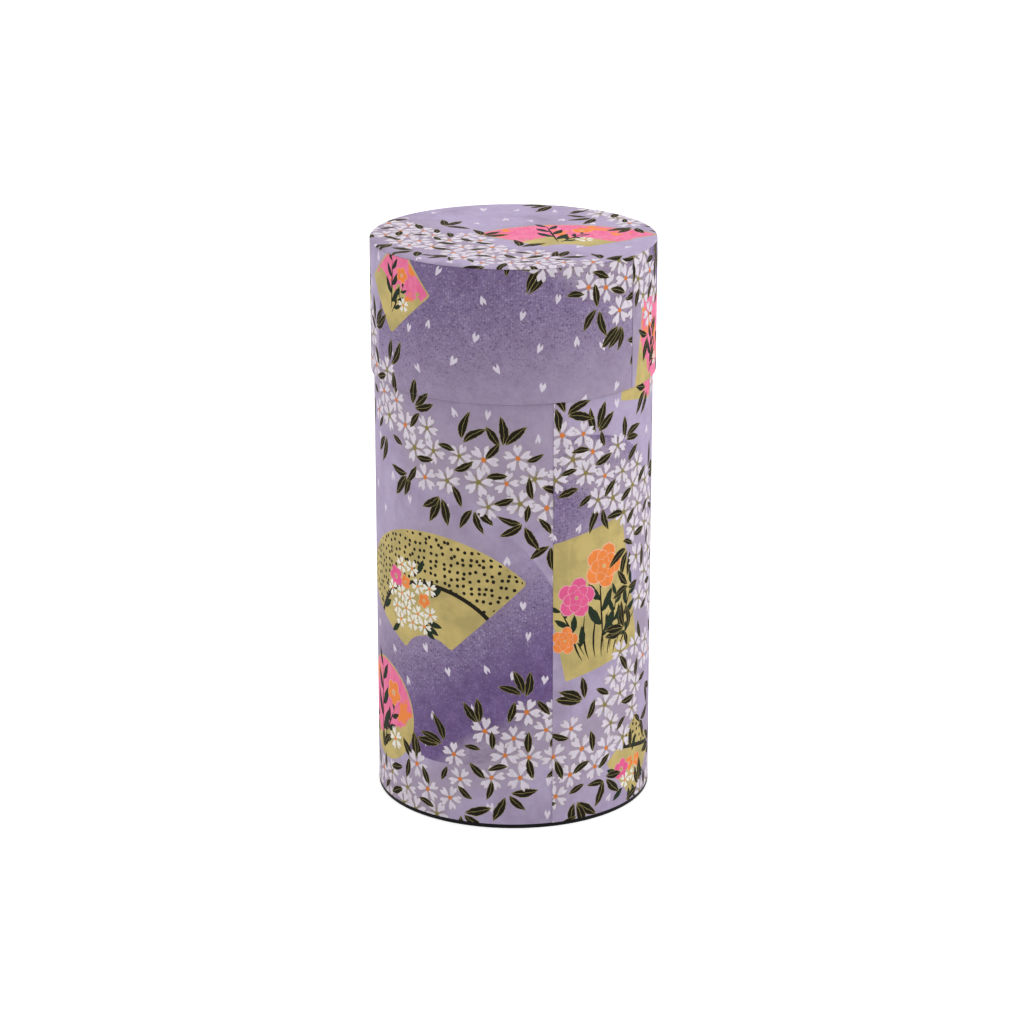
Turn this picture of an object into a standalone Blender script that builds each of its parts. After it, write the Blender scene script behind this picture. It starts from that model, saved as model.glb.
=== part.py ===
"""A round tea tin covered in printed paper, with an outer lid and a knobbed inner lid.

The tin stands on its base rim, with +Z up. Its origin is the centre of the base rim's foot, and its
front is at -Y. Every metal part is a turned sheet section: a path through the middle of the sheet,
given its thickness and spun round the tin's axis.
"""

import math

import bmesh
import bpy
from mathutils import Vector

MM = 0.001

# The whole tin
TIN_HEIGHT = 160.0 * MM
LID_RADIUS = 39.6 * MM
LID_HEIGHT = 37.5 * MM

# Sheet and paper thicknesses
PAPER = 0.18 * MM
BODY_WALL = 0.25 * MM
LID_WALL = 0.22 * MM
BASE_WALL = 0.22 * MM
PAN_WALL = 0.25 * MM

# Clearances between neighbouring pieces
GLUE_GAP = 0.1 * MM
CRIMP_GAP = 0.09 * MM
SEAT_GAP = 0.3 * MM
LID_FIT = 0.35 * MM
PLUG_FIT = 0.25 * MM
RIVET_FIT = 0.1 * MM

# Outer lid
LID_SHOULDER = 1.0 * MM
LID_FOLD_WIDTH = 4.5 * MM
TOP_PAPER_TURN = math.radians(45)
TOP_PAPER_RAMP = 1.5 * MM

# Body mouth and its lock seam
MOUTH_CURL = 0.575 * MM
MOUTH_CURL_TURN = math.radians(300)
MOUTH_BARE = 0.4 * MM
SEAM_WIDTH = 4.0 * MM
SEAM_END_GAP = 3.0 * MM
SEAM_END_RAMP = 0.5 * MM

# Base
RIM_HEIGHT = 1.1 * MM
FOOT_WIDTH = 0.2 * MM
BASE_RECESS = 3.0 * MM
BASE_CORNER = 0.8 * MM
BASE_BEAD_RADIUS = 28.0 * MM
BASE_BEAD_WIDTH = 3.0 * MM
BASE_BEAD_HEIGHT = 0.6 * MM

# Inner lid
PAN_DEPTH = 8.5 * MM
PAN_CORNER = 1.2 * MM
PAN_FLANGE_INSET = 0.2 * MM
PAN_STEP_RADIUS = 26.0 * MM
PAN_STEP_WIDTH = 2.0 * MM
PAN_STEP_HEIGHT = 0.8 * MM

# Knob, rivet and washer
KNOB_HEIGHT = 7.0 * MM
KNOB_RADIUS = 7.5 * MM
KNOB_NECK_RADIUS = 3.6 * MM
KNOB_FOOT_RADIUS = 5.0 * MM
KNOB_FOOT_HEIGHT = 1.2 * MM
KNOB_HEAD_HEIGHT = 3.2 * MM
KNOB_CROWN = 0.7 * MM
KNOB_EDGE = 1.2 * MM
RIVET_RADIUS = 1.5 * MM
RIVET_HEAD_RADIUS = 3.0 * MM
RIVET_HEAD_HEIGHT = 1.1 * MM
RIVET_GRIP = 3.6 * MM
RIVET_TIP = 0.3 * MM
WASHER_RADIUS = 4.6 * MM
WASHER_THICKNESS = 0.5 * MM

# Paper laps. A lap's edge stands at its angle, and the upper layer lies to the right of it.
LAP_WIDTH = 5.0 * MM
LAP_RAMP = 2.0 * MM
LAP_EDGE = 0.02 * MM
BODY_LAP_ANGLE = math.radians(-73.9)
LID_LAP_ANGLE = math.radians(-36.0)
LOCK_SEAM_ANGLE = math.radians(106.0)

# Facets
ROUND_STEPS = 54
SMALL_STEPS = 32
ARC_STEPS = 4
CURL_STEPS = 9
WELD = 0.001 * MM

# Radii of the layers, from the outside in
LID_SHELL_OUT = LID_RADIUS - PAPER - GLUE_GAP
LID_SHELL_IN = LID_SHELL_OUT - LID_WALL
BODY_PAPER_OUT = LID_SHELL_IN - LID_FIT
BODY_SHELL_OUT = BODY_PAPER_OUT - PAPER - GLUE_GAP
BODY_SHELL_IN = BODY_SHELL_OUT - BODY_WALL
MOUTH_IN = BODY_SHELL_OUT - 2 * MOUTH_CURL - BODY_WALL
PLUG_RADIUS = MOUTH_IN - PLUG_FIT

# Heights of the seated faces, from the top down
FOLD_TOP = TIN_HEIGHT - PAPER - GLUE_GAP
LID_SHELL_TOP = FOLD_TOP - PAPER - GLUE_GAP
LID_UNDERSIDE = LID_SHELL_TOP - LID_WALL
LID_MOUTH = TIN_HEIGHT - LID_HEIGHT
FLANGE_TOP = LID_UNDERSIDE - SEAT_GAP
MOUTH_TOP = FLANGE_TOP - PAN_WALL - SEAT_GAP
PAN_FLOOR_TOP = FLANGE_TOP - PAN_DEPTH
PAN_FLOOR_UNDER = PAN_FLOOR_TOP - PAN_WALL
TUBE_FOOT = BASE_WALL + CRIMP_GAP + BODY_WALL


def arc(centre, radius, start, end, steps=ARC_STEPS):
    """Points on an arc in the (radius, height) plane, from one angle in degrees to another."""
    angles = [math.radians(start + (end - start) * i / steps) for i in range(steps + 1)]
    return [Vector((centre[0] + radius * math.cos(a), centre[1] + radius * math.sin(a))) for a in angles]


def sheet(path, wall):
    """The outline of a sheet of that thickness whose middle follows the path.

    It runs up one side and back down the other, so it is open where the path starts.
    """
    points = [Vector(p) for p in path]
    left, right = [], []
    for i, point in enumerate(points):
        before = (point - points[i - 1]).normalized() if i else None
        after = (points[i + 1] - point).normalized() if i < len(points) - 1 else None
        before, after = before or after, after or before
        normals = [Vector((-d.y, d.x)) for d in (before, after)]
        mitre = (normals[0] + normals[1]).normalized()
        reach = wall / 2 / mitre.dot(normals[0])
        left.append(point + mitre * reach)
        right.append(point - mitre * reach)
    return left + right[::-1]


def linked(name, bm, material):
    """An object made from the bmesh, shaded smooth where it is round."""
    bmesh.ops.remove_doubles(bm, verts=bm.verts, dist=WELD)
    bmesh.ops.recalc_face_normals(bm, faces=bm.faces)
    mesh = bpy.data.meshes.new(name)
    bm.to_mesh(mesh)
    bm.free()
    mesh.shade_smooth()
    mesh.set_sharp_from_angle(angle=math.radians(35))
    mesh.materials.append(material)
    obj = bpy.data.objects.new(name, mesh)
    bpy.context.scene.collection.objects.link(obj)
    return obj


def turned(outline, closed=True, start=0.0, turns=((2 * math.pi, ROUND_STEPS),)):
    """A bmesh of the outline spun round the Z axis, through turns of (angle, steps) from the start angle.

    An outline that isn't closed has both its ends on the axis.
    """
    bm = bmesh.new()
    verts = [bm.verts.new((r * math.cos(start), r * math.sin(start), z)) for r, z in outline]
    pairs = list(zip(verts, verts[1:]))
    if closed:
        pairs.append((verts[-1], verts[0]))
    ring = verts + [bm.edges.new(pair) for pair in pairs]
    for angle, steps in turns:
        spun = bmesh.ops.spin(bm, geom=ring, cent=(0, 0, 0), axis=(0, 0, 1), angle=angle, steps=steps)
        ring = spun["geom_last"]
    return bm


def full_circle(turns):
    """Those turns, and one more that closes the circle in the steps that are left."""
    angle = 2 * math.pi - sum(turn[0] for turn in turns)
    steps = ROUND_STEPS - sum(turn[1] for turn in turns)
    return *turns, (angle, steps)


def lap_turns(radius):
    """Turns that put columns at a paper lap's edge, across its width and at the end of its ramp."""
    return full_circle([(LAP_EDGE / radius, 1), (LAP_WIDTH / radius, 2), (LAP_RAMP / radius, 1)])


def lift(bm, radius, by, start, sector, bottom=-math.inf, top=math.inf):
    """Moves the wall at that radius outwards by a length, between two heights and inside a sector."""
    for vert in bm.verts:
        reach = math.hypot(vert.co.x, vert.co.y)
        turn = (math.atan2(vert.co.y, vert.co.x) - start) % (2 * math.pi)
        inside = sector[0] <= turn <= sector[1] and bottom - WELD < vert.co.z < top + WELD
        if abs(reach - radius) < WELD and inside:
            vert.co.x *= (reach + by) / reach
            vert.co.y *= (reach + by) / reach


def lift_lap(bm, radius, start):
    """Doubles the paper's thickness over its lap, where the upper layer lies on the lower one."""
    edge, width = LAP_EDGE / radius, LAP_WIDTH / radius
    lift(bm, radius, PAPER, start, (edge / 2, edge * 3 / 2 + width))


def finish(name, colour, roughness, metallic):
    """A Principled material with that colour, roughness and metallic value."""
    material = bpy.data.materials.new(name)
    material.use_nodes = True
    shader = material.node_tree.nodes["Principled BSDF"]
    shader.inputs["Base Color"].default_value = (*colour, 1)
    shader.inputs["Roughness"].default_value = roughness
    shader.inputs["Metallic"].default_value = metallic
    return material


def body_shell(material):
    """The tinplate tube: a curled mouth, a plain foot for the base, and a lock seam inside."""
    middle = BODY_SHELL_OUT - BODY_WALL / 2
    curl_height = MOUTH_TOP - MOUTH_CURL - BODY_WALL / 2
    seam_bottom = BASE_RECESS + SEAM_END_GAP
    seam_top = curl_height - MOUTH_CURL - SEAM_END_GAP
    heights = (TUBE_FOOT, seam_bottom, seam_bottom + SEAM_END_RAMP, seam_top - SEAM_END_RAMP, seam_top)
    curl = arc(
        (middle - MOUTH_CURL, curl_height), MOUTH_CURL, 0, math.degrees(MOUTH_CURL_TURN), CURL_STEPS
    )
    outline = sheet([(middle, z) for z in heights] + curl, BODY_WALL)
    edge, width = LAP_EDGE / BODY_SHELL_IN, SEAM_WIDTH / BODY_SHELL_IN
    turns = full_circle([(edge, 1), (width, 2), (edge, 1)])
    bm = turned(outline, start=LOCK_SEAM_ANGLE, turns=turns)
    lift(
        bm,
        BODY_SHELL_IN,
        -BODY_WALL,
        LOCK_SEAM_ANGLE,
        (edge / 2, edge * 3 / 2 + width),
        seam_bottom + SEAM_END_RAMP,
        seam_top - SEAM_END_RAMP,
    )
    return linked("body_shell", bm, material)


def base_end(material):
    """The black base: a recessed panel with a bead, and a rim folded up round the tube's foot."""
    half = BASE_WALL / 2
    inner = BODY_SHELL_IN - CRIMP_GAP - half
    outer = BODY_SHELL_OUT + CRIMP_GAP + half
    turn = (outer - inner - FOOT_WIDTH) / 2
    panel = BASE_RECESS + half
    bead = [
        (BASE_BEAD_RADIUS - BASE_BEAD_WIDTH / 2, panel),
        (BASE_BEAD_RADIUS - BASE_BEAD_WIDTH / 4, panel + BASE_BEAD_HEIGHT),
        (BASE_BEAD_RADIUS + BASE_BEAD_WIDTH / 4, panel + BASE_BEAD_HEIGHT),
        (BASE_BEAD_RADIUS + BASE_BEAD_WIDTH / 2, panel),
    ]
    path = [(0, panel), *bead]
    path += arc((inner - BASE_CORNER, panel - BASE_CORNER), BASE_CORNER, 90, 0)
    path += arc((inner + turn, half + turn), turn, 180, 270, ARC_STEPS // 2)
    path += arc((outer - turn, half + turn), turn, 270, 360, ARC_STEPS // 2)
    path.append((outer, RIM_HEIGHT))
    return linked("base_end", turned(sheet(path, BASE_WALL), closed=False), material)


def body_paper(material):
    """The paper wrap of the body, glued over the tube and lapped at the front."""
    inner = BODY_PAPER_OUT - PAPER
    bottom = RIM_HEIGHT + GLUE_GAP
    top = MOUTH_TOP - MOUTH_CURL - MOUTH_BARE
    outline = [(inner, bottom), (BODY_PAPER_OUT, bottom), (BODY_PAPER_OUT, top), (inner, top)]
    bm = turned(outline, start=BODY_LAP_ANGLE, turns=lap_turns(BODY_PAPER_OUT))
    lift_lap(bm, BODY_PAPER_OUT, BODY_LAP_ANGLE)
    return linked("body_paper", bm, material)


def lid_shell(material):
    """The drawn tinplate lid: a flat top, a round shoulder and a straight skirt."""
    middle = LID_SHELL_OUT - LID_WALL / 2
    top = LID_SHELL_TOP - LID_WALL / 2
    bend = LID_SHOULDER - PAPER - GLUE_GAP - LID_WALL / 2
    path = [(0, top)]
    path += arc((middle - bend, top - bend), bend, 90, 0)
    path.append((middle, LID_MOUTH + PAPER + GLUE_GAP))
    return linked("lid_shell", turned(sheet(path, LID_WALL), closed=False), material)


def lid_side_paper(material):
    """The lid's side wrap: folded over the shoulder at the top and round the shell's edge below."""
    middle = LID_RADIUS - PAPER / 2
    top = FOLD_TOP - PAPER / 2
    bend = LID_SHOULDER - PAPER / 2
    low = LID_MOUTH + PAPER / 2
    fold = PAPER / 2 + 2 * GLUE_GAP
    path = [(middle - bend - LID_FOLD_WIDTH, top)]
    path += arc((middle - bend, top - bend), bend, 90, 0)
    path += arc((middle - fold, low + fold), fold, 0, -90, ARC_STEPS // 2)
    path.append((LID_SHELL_IN + PAPER / 2, low))
    bm = turned(sheet(path, PAPER), start=LID_LAP_ANGLE, turns=lap_turns(LID_RADIUS))
    lift_lap(bm, LID_RADIUS, LID_LAP_ANGLE)
    return linked("lid_side_paper", bm, material)


def lid_top_paper(material):
    """The paper disc on the lid. It covers the side paper's fold, dips inside it and turns over its edge."""
    high = TIN_HEIGHT - PAPER / 2
    low = LID_SHELL_TOP + GLUE_GAP + PAPER / 2
    ramp_end = LID_RADIUS - LID_SHOULDER - LID_FOLD_WIDTH - SEAT_GAP
    edge = (LID_RADIUS - LID_SHOULDER, FOLD_TOP - LID_SHOULDER)
    path = [(0, low), (ramp_end - TOP_PAPER_RAMP, low), (ramp_end, high)]
    path += arc(edge, high - edge[1], 90, 90 - math.degrees(TOP_PAPER_TURN), ARC_STEPS // 2)
    return linked("lid_top_paper", turned(sheet(path, PAPER), closed=False), material)


def inner_lid_pan(material):
    """The pressed inner lid: a flange on the mouth, a plug skirt, and a stepped floor with a hole."""
    half = PAN_WALL / 2
    skirt = PLUG_RADIUS - half
    floor = PAN_FLOOR_TOP - half
    flange = FLANGE_TOP - half
    path = [
        (RIVET_RADIUS + RIVET_FIT, floor),
        (PAN_STEP_RADIUS - PAN_STEP_WIDTH / 2, floor),
        (PAN_STEP_RADIUS + PAN_STEP_WIDTH / 2, floor + PAN_STEP_HEIGHT),
    ]
    path += arc((skirt - PAN_CORNER, floor + PAN_STEP_HEIGHT + PAN_CORNER), PAN_CORNER, 270, 360)
    path += arc((skirt + PAN_WALL, flange - PAN_WALL), PAN_WALL, 180, 90, ARC_STEPS // 2)
    path.append((BODY_SHELL_OUT - PAN_FLANGE_INSET, flange))
    return linked("inner_lid_pan", turned(sheet(path, PAN_WALL)), material)


def inner_lid_knob(material):
    """The turned knob: a foot, a waist, and a crowned head with a blind hole for the rivet."""
    foot = PAN_FLOOR_TOP + SEAT_GAP
    top = foot + KNOB_HEIGHT
    head = top - KNOB_HEAD_HEIGHT
    hole = RIVET_RADIUS + RIVET_FIT
    hole_end = foot + RIVET_GRIP
    rim = top - KNOB_CROWN - KNOB_EDGE
    waist = (head - foot - KNOB_FOOT_HEIGHT) / 2
    outline = [
        (0, hole_end),
        (hole, hole_end),
        (hole, foot),
        (KNOB_FOOT_RADIUS, foot),
        (KNOB_FOOT_RADIUS, foot + KNOB_FOOT_HEIGHT / 2),
    ]
    outline += arc((KNOB_NECK_RADIUS + waist, head - waist), waist, 240, 120)
    outline.append((KNOB_RADIUS - KNOB_EDGE / 2, head))
    outline += arc((KNOB_RADIUS - KNOB_EDGE, rim), KNOB_EDGE, 0, 75)
    outline += [((KNOB_RADIUS - KNOB_EDGE) / 2, top - KNOB_CROWN / 4), (0, top)]
    turns = ((2 * math.pi, SMALL_STEPS),)
    return linked("inner_lid_knob", turned(outline, closed=False, turns=turns), material)


def knob_rivet(material):
    """The rivet: a domed head inside the tin and a shank up through washer and pan into the knob."""
    seat = PAN_FLOOR_UNDER - SEAT_GAP - WASHER_THICKNESS - SEAT_GAP
    tip = PAN_FLOOR_TOP + RIVET_GRIP
    dome = (RIVET_HEAD_RADIUS**2 + RIVET_HEAD_HEIGHT**2) / (2 * RIVET_HEAD_HEIGHT)
    spread = math.degrees(math.asin(RIVET_HEAD_RADIUS / dome))
    outline = arc((0, seat - RIVET_HEAD_HEIGHT + dome), dome, 270, 270 + spread)
    outline[0].x = 0
    outline += [
        (RIVET_RADIUS, seat),
        (RIVET_RADIUS, tip - RIVET_TIP),
        (RIVET_RADIUS - RIVET_TIP, tip),
        (0, tip),
    ]
    turns = ((2 * math.pi, SMALL_STEPS),)
    return linked("knob_rivet", turned(outline, closed=False, turns=turns), material)


def knob_washer(material):
    """The flat washer between the rivet's head and the pan."""
    top = PAN_FLOOR_UNDER - SEAT_GAP
    hole = RIVET_RADIUS + RIVET_FIT
    bottom = top - WASHER_THICKNESS
    outline = [(hole, bottom), (WASHER_RADIUS, bottom), (WASHER_RADIUS, top), (hole, top)]
    turns = ((2 * math.pi, SMALL_STEPS),)
    return linked("knob_washer", turned(outline, turns=turns), material)


def carrier(name, height, pieces):
    """An empty on the tin's axis that carries the pieces of one moving body."""
    empty = bpy.data.objects.new(name, None)
    empty.location = (0, 0, height)
    bpy.context.scene.collection.objects.link(empty)
    bpy.context.view_layer.update()
    for piece in pieces:
        piece.parent = empty
        piece.matrix_parent_inverse = empty.matrix_world.inverted()
    return empty


def main():
    """Clears the scene and builds the tin at rest, closed."""
    for obj in list(bpy.data.objects):
        bpy.data.objects.remove(obj)
    paper = finish("printed_paper", (0.39, 0.31, 0.50), 0.7, 0.0)
    tinplate = finish("tinplate", (0.62, 0.62, 0.60), 0.3, 1.0)
    black = finish("black_lacquer", (0.012, 0.011, 0.012), 0.35, 0.0)
    knob = finish("knob_plastic", (0.015, 0.014, 0.014), 0.3, 0.0)
    steel = finish("rivet_steel", (0.55, 0.55, 0.55), 0.35, 1.0)

    body_shell(tinplate)
    base_end(black)
    body_paper(paper)
    outer_pieces = [lid_shell(tinplate), lid_side_paper(paper), lid_top_paper(paper)]
    inner_pieces = [inner_lid_pan(tinplate), inner_lid_knob(knob), knob_rivet(steel), knob_washer(steel)]
    carrier("outer_lid", LID_MOUTH, outer_pieces)
    carrier("inner_lid", FLANGE_TOP, inner_pieces)


main()
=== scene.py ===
"""A round tea tin wrapped in printed paper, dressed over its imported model.

Lengths are in metres, and the tin stands on the floor with its front at -Y. The print is laid out in
millimetres on one flat sheet, from which the body's wrap, the lid's wrap and the lid's disc are cut.
"""
import math
from collections import namedtuple
from functools import partialmethod

import bmesh
import bpy
import numpy as np
from bpy.props import FloatProperty, FloatVectorProperty, IntProperty
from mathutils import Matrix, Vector


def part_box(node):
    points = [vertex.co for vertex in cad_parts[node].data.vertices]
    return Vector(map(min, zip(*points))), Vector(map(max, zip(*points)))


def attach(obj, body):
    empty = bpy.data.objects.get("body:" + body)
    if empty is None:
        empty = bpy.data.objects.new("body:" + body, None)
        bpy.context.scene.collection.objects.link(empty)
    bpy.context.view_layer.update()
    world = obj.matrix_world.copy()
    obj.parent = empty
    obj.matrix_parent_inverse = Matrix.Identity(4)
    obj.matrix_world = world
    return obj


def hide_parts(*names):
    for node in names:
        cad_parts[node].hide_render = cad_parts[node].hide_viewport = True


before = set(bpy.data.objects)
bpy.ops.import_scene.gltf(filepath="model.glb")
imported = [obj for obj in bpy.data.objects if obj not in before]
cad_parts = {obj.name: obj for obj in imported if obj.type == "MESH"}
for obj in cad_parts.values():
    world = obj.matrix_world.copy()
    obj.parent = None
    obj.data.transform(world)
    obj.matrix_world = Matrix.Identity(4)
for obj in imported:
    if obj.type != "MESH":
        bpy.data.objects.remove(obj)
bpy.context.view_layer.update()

bl_info = {
    "name": "Tea Tin",
    "version": (1, 0, 0),
    "blender": (4, 5, 0),
    "location": "View3D > Sidebar > Tea Tin",
    "description": "Builds a paper-covered tea tin with an outer lid and a knobbed inner lid",
    "category": "Object",
}

MM = 0.001
FULL_TURN = 2 * math.pi

# Facets of the finished pieces
ROUND_STEPS = 160
PAPER_STEPS = 244
SMALL_STEPS = 64
ARC_STEPS = 8
FOLD_STEPS = 4
CURL_STEPS = 20
LAP_STEPS = 5
RAMP_STEPS = 3
SEAM_STEPS = 4
PAPER_ROW = 1.0 * MM
WELD = 0.001 * MM
SHARP_CORNER = math.radians(35)

# Where the laps and the seam start, measured round from +X
BODY_LAP_ANGLE = math.radians(-73.9)
LID_LAP_ANGLE = math.radians(-36.0)
LOCK_SEAM_ANGLE = math.radians(106.0)
FRONT_ANGLE = math.radians(270)
LAP_EDGE = 0.02 * MM

# Sizes that several pieces share
BASE_RECESS = 3.0 * MM
RIVET_HOLE = 1.6 * MM

# Motif kinds, in the order of the ink tables, and the limits between their groups
ORANGE_CENTRED, OLIVE_CENTRED, CREAM, PINK, ORANGE, PETAL, LEAF, GREEN_LEAF, STROKE = range(1, 10)
NO_MOTIF, LAST_WHITE, LAST_FLOWER, LAST_PETAL = 0.5, 3.5, 5.5, 6.5
ROUND_FLOWERS = (4.5, 1.0)
INK_STEPS = 10
MOTIF_LAYERS = ("motif_1", "motif_2", "motif_3", "motif_4")

# One motif at its plain size, in millimetres. Slopes are millimetres for each millimetre along it.
FOLD_HALF = math.pi / 5
PETAL_REACH = 3.7
PETAL_FOOT = 0.35
PETAL_SLOPE = 0.72
PETAL_BOW = 0.075
PETAL_SOFTNESS = 0.75
PETAL_EDGE = 0.13
LOBE = 0.66
LOBE_SOFTNESS = 0.35
NOTCH_SLOPE = 1.25
LOOSE_NOTCH = 0.6
SHOULDER_SLOPE = 1.9
BOWL_CENTRE = 2.15
BOWL_RADIUS = 1.52
BOWL_RIM = 0.15
CENTRE_RADIUS = 0.6
LINE_HALF = 0.09
LINE_REACH = 1.9
LEAF_HALF_LENGTH = 3.4
LEAF_HALF_WIDTH = 1.18
LEAF_OUTLINE = 0.12
LEAF_RIB = 0.07
STEM_HALF = 0.3

# Patch fills, and lengths on a patch in millimetres
DOTTED, PINK_AND_GOLD, FLOWERED = 1, 2, 3
DOT_SPACING = 2.05
DOT_RADIUS = 0.5
PATCH_LINE = 0.6
PATCH_RIM = 0.5
PATCH_WAVE = 14.0

# The flat sheet: u runs round the tin from its front, and v is the height
SHEET_LOW, SHEET_HIGH = (-250.0, -12.0), (60.0, 290.0)
DISC_CENTRE = (-100.0, 240.0)

# Blossom drifts: paths of (u, v, half width)
DRIFTS = (
    ((-240, 112, 9), (-224, 104, 10), (-206, 96, 11), (-194, 76, 11), (-196, 52, 10), (-208, 30, 11),
     (-226, 20, 12), (-242, 6, 12)),
    ((-92, 140, 9), (-72, 138, 10), (-54, 128, 10), (-40, 116, 10), (-24, 104, 9), (-6, 102, 9),
     (8, 96, 10), (22, 86, 10)),
    ((-98, 30, 9), (-80, 22, 10), (-62, 4, 10), (-44, 2, 10), (-24, 8, 10), (-6, 20, 10), (8, 28, 10),
     (24, 34, 10)),
    ((6, 172, 9), (20, 160, 9), (34, 152, 9), (48, 140, 8)),
    ((-184, 166, 9), (-168, 146, 10), (-152, 128, 11), (-140, 106, 9), (-118, 92, 10), (-98, 78, 10),
     (-78, 84, 8)),
    ((-192, -4, 10), (-170, 12, 10), (-154, 32, 11), (-132, 42, 9), (-112, 30, 10), (-100, 10, 11),
     (-96, -8, 10)),
    ((-134, 168, 10), (-112, 152, 10), (-96, 142, 9)),
    ((-222, 166, 10), (-206, 154, 9), (-194, 140, 9), (-188, 122, 8)),
    ((-146, 252, 10), (-128, 240, 12), (-110, 222, 10), (-96, 206, 9), (-80, 200, 9)),
    ((-84, 284, 8), (-70, 268, 9), (-56, 250, 9)),
)

# Deep violet clouds: u, v, radius, the way in which they deepen, how far that takes, and how deep they get
CLOUDS = (
    (-22, 54, 38, -58, 44, 1.0),
    (4, 136, 50, 98, 58, 0.82),
    (-206, 152, 28, 60, 32, 1.0),
    (-150, 66, 34, 200, 44, 1.0),
    (-96, 120, 30, 30, 40, 0.9),
    (-226, 84, 30, 130, 34, 0.8),
    (-178, 8, 28, -40, 32, 1.0),
    (-84, 8, 30, 80, 34, 1.0),
    (-146, 236, 34, 200, 50, 0.55),
)

# Patches, turned by degrees. A card has two half widths, a round one radius, and a fan two radii.
Patch = namedtuple("Patch", "outline u v turn first second fill divide")
PATCHES = (
    Patch("fan", -25, 44, 98, 10, 40, DOTTED, 25.0),
    Patch("card", -219, 65, 12, 14, 20, FLOWERED, 0.0),
    Patch("round", -46, 27, 24, 15, 0, PINK_AND_GOLD, -7.0),
    Patch("card", -37, 151, 40, 10, 9, PINK_AND_GOLD, 0.0),
    Patch("card", -199, 132, -10, 9, 14, PINK_AND_GOLD, -5.0),
    Patch("card", -202, 14, 40, 9, 9, DOTTED, 3.0),
    Patch("fan", -124, 52, 78, 8, 29, PINK_AND_GOLD, 17.0),
    Patch("card", -168, 84, -20, 13, 10, FLOWERED, 0.0),
    Patch("round", -82, 62, 0, 11, 0, DOTTED, -1.5),
    Patch("card", -112, 120, 30, 9, 12, PINK_AND_GOLD, 2.0),
    Patch("round", -150, 150, 0, 11, 0, DOTTED, 2.0),
    Patch("card", -64, 150, 10, 7, 9, FLOWERED, 0.0),
    Patch("card", -136, 10, 8, 9, 12, PINK_AND_GOLD, -3.0),
    Patch("fan", -86, 222, 88, 7, 31, PINK_AND_GOLD, 16.0),
)
Motif = namedtuple("Motif", "kind u v turn scale narrow bend")


def node_top(node):
    """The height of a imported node's highest point."""
    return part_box(node)[1].z


def node_foot(node):
    """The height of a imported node's lowest point."""
    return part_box(node)[0].z


def node_radius(node):
    """The radius of the circle that fits inside a round node's box."""
    low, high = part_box(node)
    return min(-low.x, -low.y, high.x, high.y)


def arc(centre, radius, start, end, steps=ARC_STEPS):
    """Points on an arc in the (radius, height) plane, from one angle in degrees to another."""
    angles = [math.radians(start + (end - start) * i / steps) for i in range(steps + 1)]
    return [Vector((centre[0] + radius * math.cos(a), centre[1] + radius * math.sin(a))) for a in angles]


def rows(start, end):
    """Points on a straight line, about one row of paper apart, with both ends."""
    start, end = Vector(start), Vector(end)
    steps = max(1, round((end - start).length / PAPER_ROW))
    return [start.lerp(end, i / steps) for i in range(steps + 1)]


def joined(*parts):
    """The parts of a path one after the other, without the points that two of them share."""
    path = []
    for point in (Vector(p) for part in parts for p in part):
        if not path or (point - path[-1]).length > WELD:
            path.append(point)
    return path


def sheet(path, wall):
    """The outline of a sheet of that thickness whose middle follows the path: there, and back again."""
    left, right = [], []
    for i, point in enumerate(path):
        before = (point - path[i - 1]).normalized() if i else None
        after = (path[i + 1] - point).normalized() if i < len(path) - 1 else None
        before, after = before or after, after or before
        normals = [Vector((-d.y, d.x)) for d in (before, after)]
        mitre = (normals[0] + normals[1]).normalized()
        reach = wall / 2 / mitre.dot(normals[0])
        left.append(point + mitre * reach)
        right.append(point - mitre * reach)
    return left + right[::-1]


def lengths_along(path):
    """How far along the path each of its points lies."""
    lengths = [0.0]
    for point, after in zip(path, path[1:]):
        lengths.append(lengths[-1] + (after - point).length)
    return lengths


def full_circle(turns, steps):
    """Those turns, and one more that closes the circle in the steps that are left."""
    angle = FULL_TURN - sum(turn[0] for turn in turns)
    return *turns, (angle, steps - sum(turn[1] for turn in turns))


def spun(outline, closed=True, start=0.0, turns=((FULL_TURN, ROUND_STEPS),), marks=()):
    """A bmesh of the outline spun round the Z axis. Marks are kept on a vertex layer called along."""
    bm = bmesh.new()
    layer = bm.verts.layers.float.new("along")
    verts = [bm.verts.new((p[0] * math.cos(start), p[0] * math.sin(start), p[1])) for p in outline]
    for vert, mark in zip(verts, marks):
        vert[layer] = mark
    pairs = list(zip(verts, verts[1:]))
    if closed:
        pairs.append((verts[-1], verts[0]))
    ring = verts + [bm.edges.new(pair) for pair in pairs]
    for angle, steps in turns:
        made = bmesh.ops.spin(bm, geom=ring, cent=(0, 0, 0), axis=(0, 0, 1), angle=angle, steps=steps)
        ring = made["geom_last"]
    bmesh.ops.remove_doubles(bm, verts=bm.verts, dist=WELD)
    bmesh.ops.recalc_face_normals(bm, faces=bm.faces)
    return bm


def lift(bm, radius, by, start, width, bottom=-math.inf, top=math.inf):
    """Moves a strip of the wall at that radius outwards, between two heights and past a thin edge."""
    edge = LAP_EDGE / radius
    for vert in bm.verts:
        reach = math.hypot(vert.co.x, vert.co.y)
        turn = (math.atan2(vert.co.y, vert.co.x) - start) % FULL_TURN
        inside = edge / 2 <= turn <= edge * 3 / 2 + width / radius
        if abs(reach - radius) < WELD and inside and bottom - WELD < vert.co.z < top + WELD:
            vert.co.x *= (reach + by) / reach
            vert.co.y *= (reach + by) / reach


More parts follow.
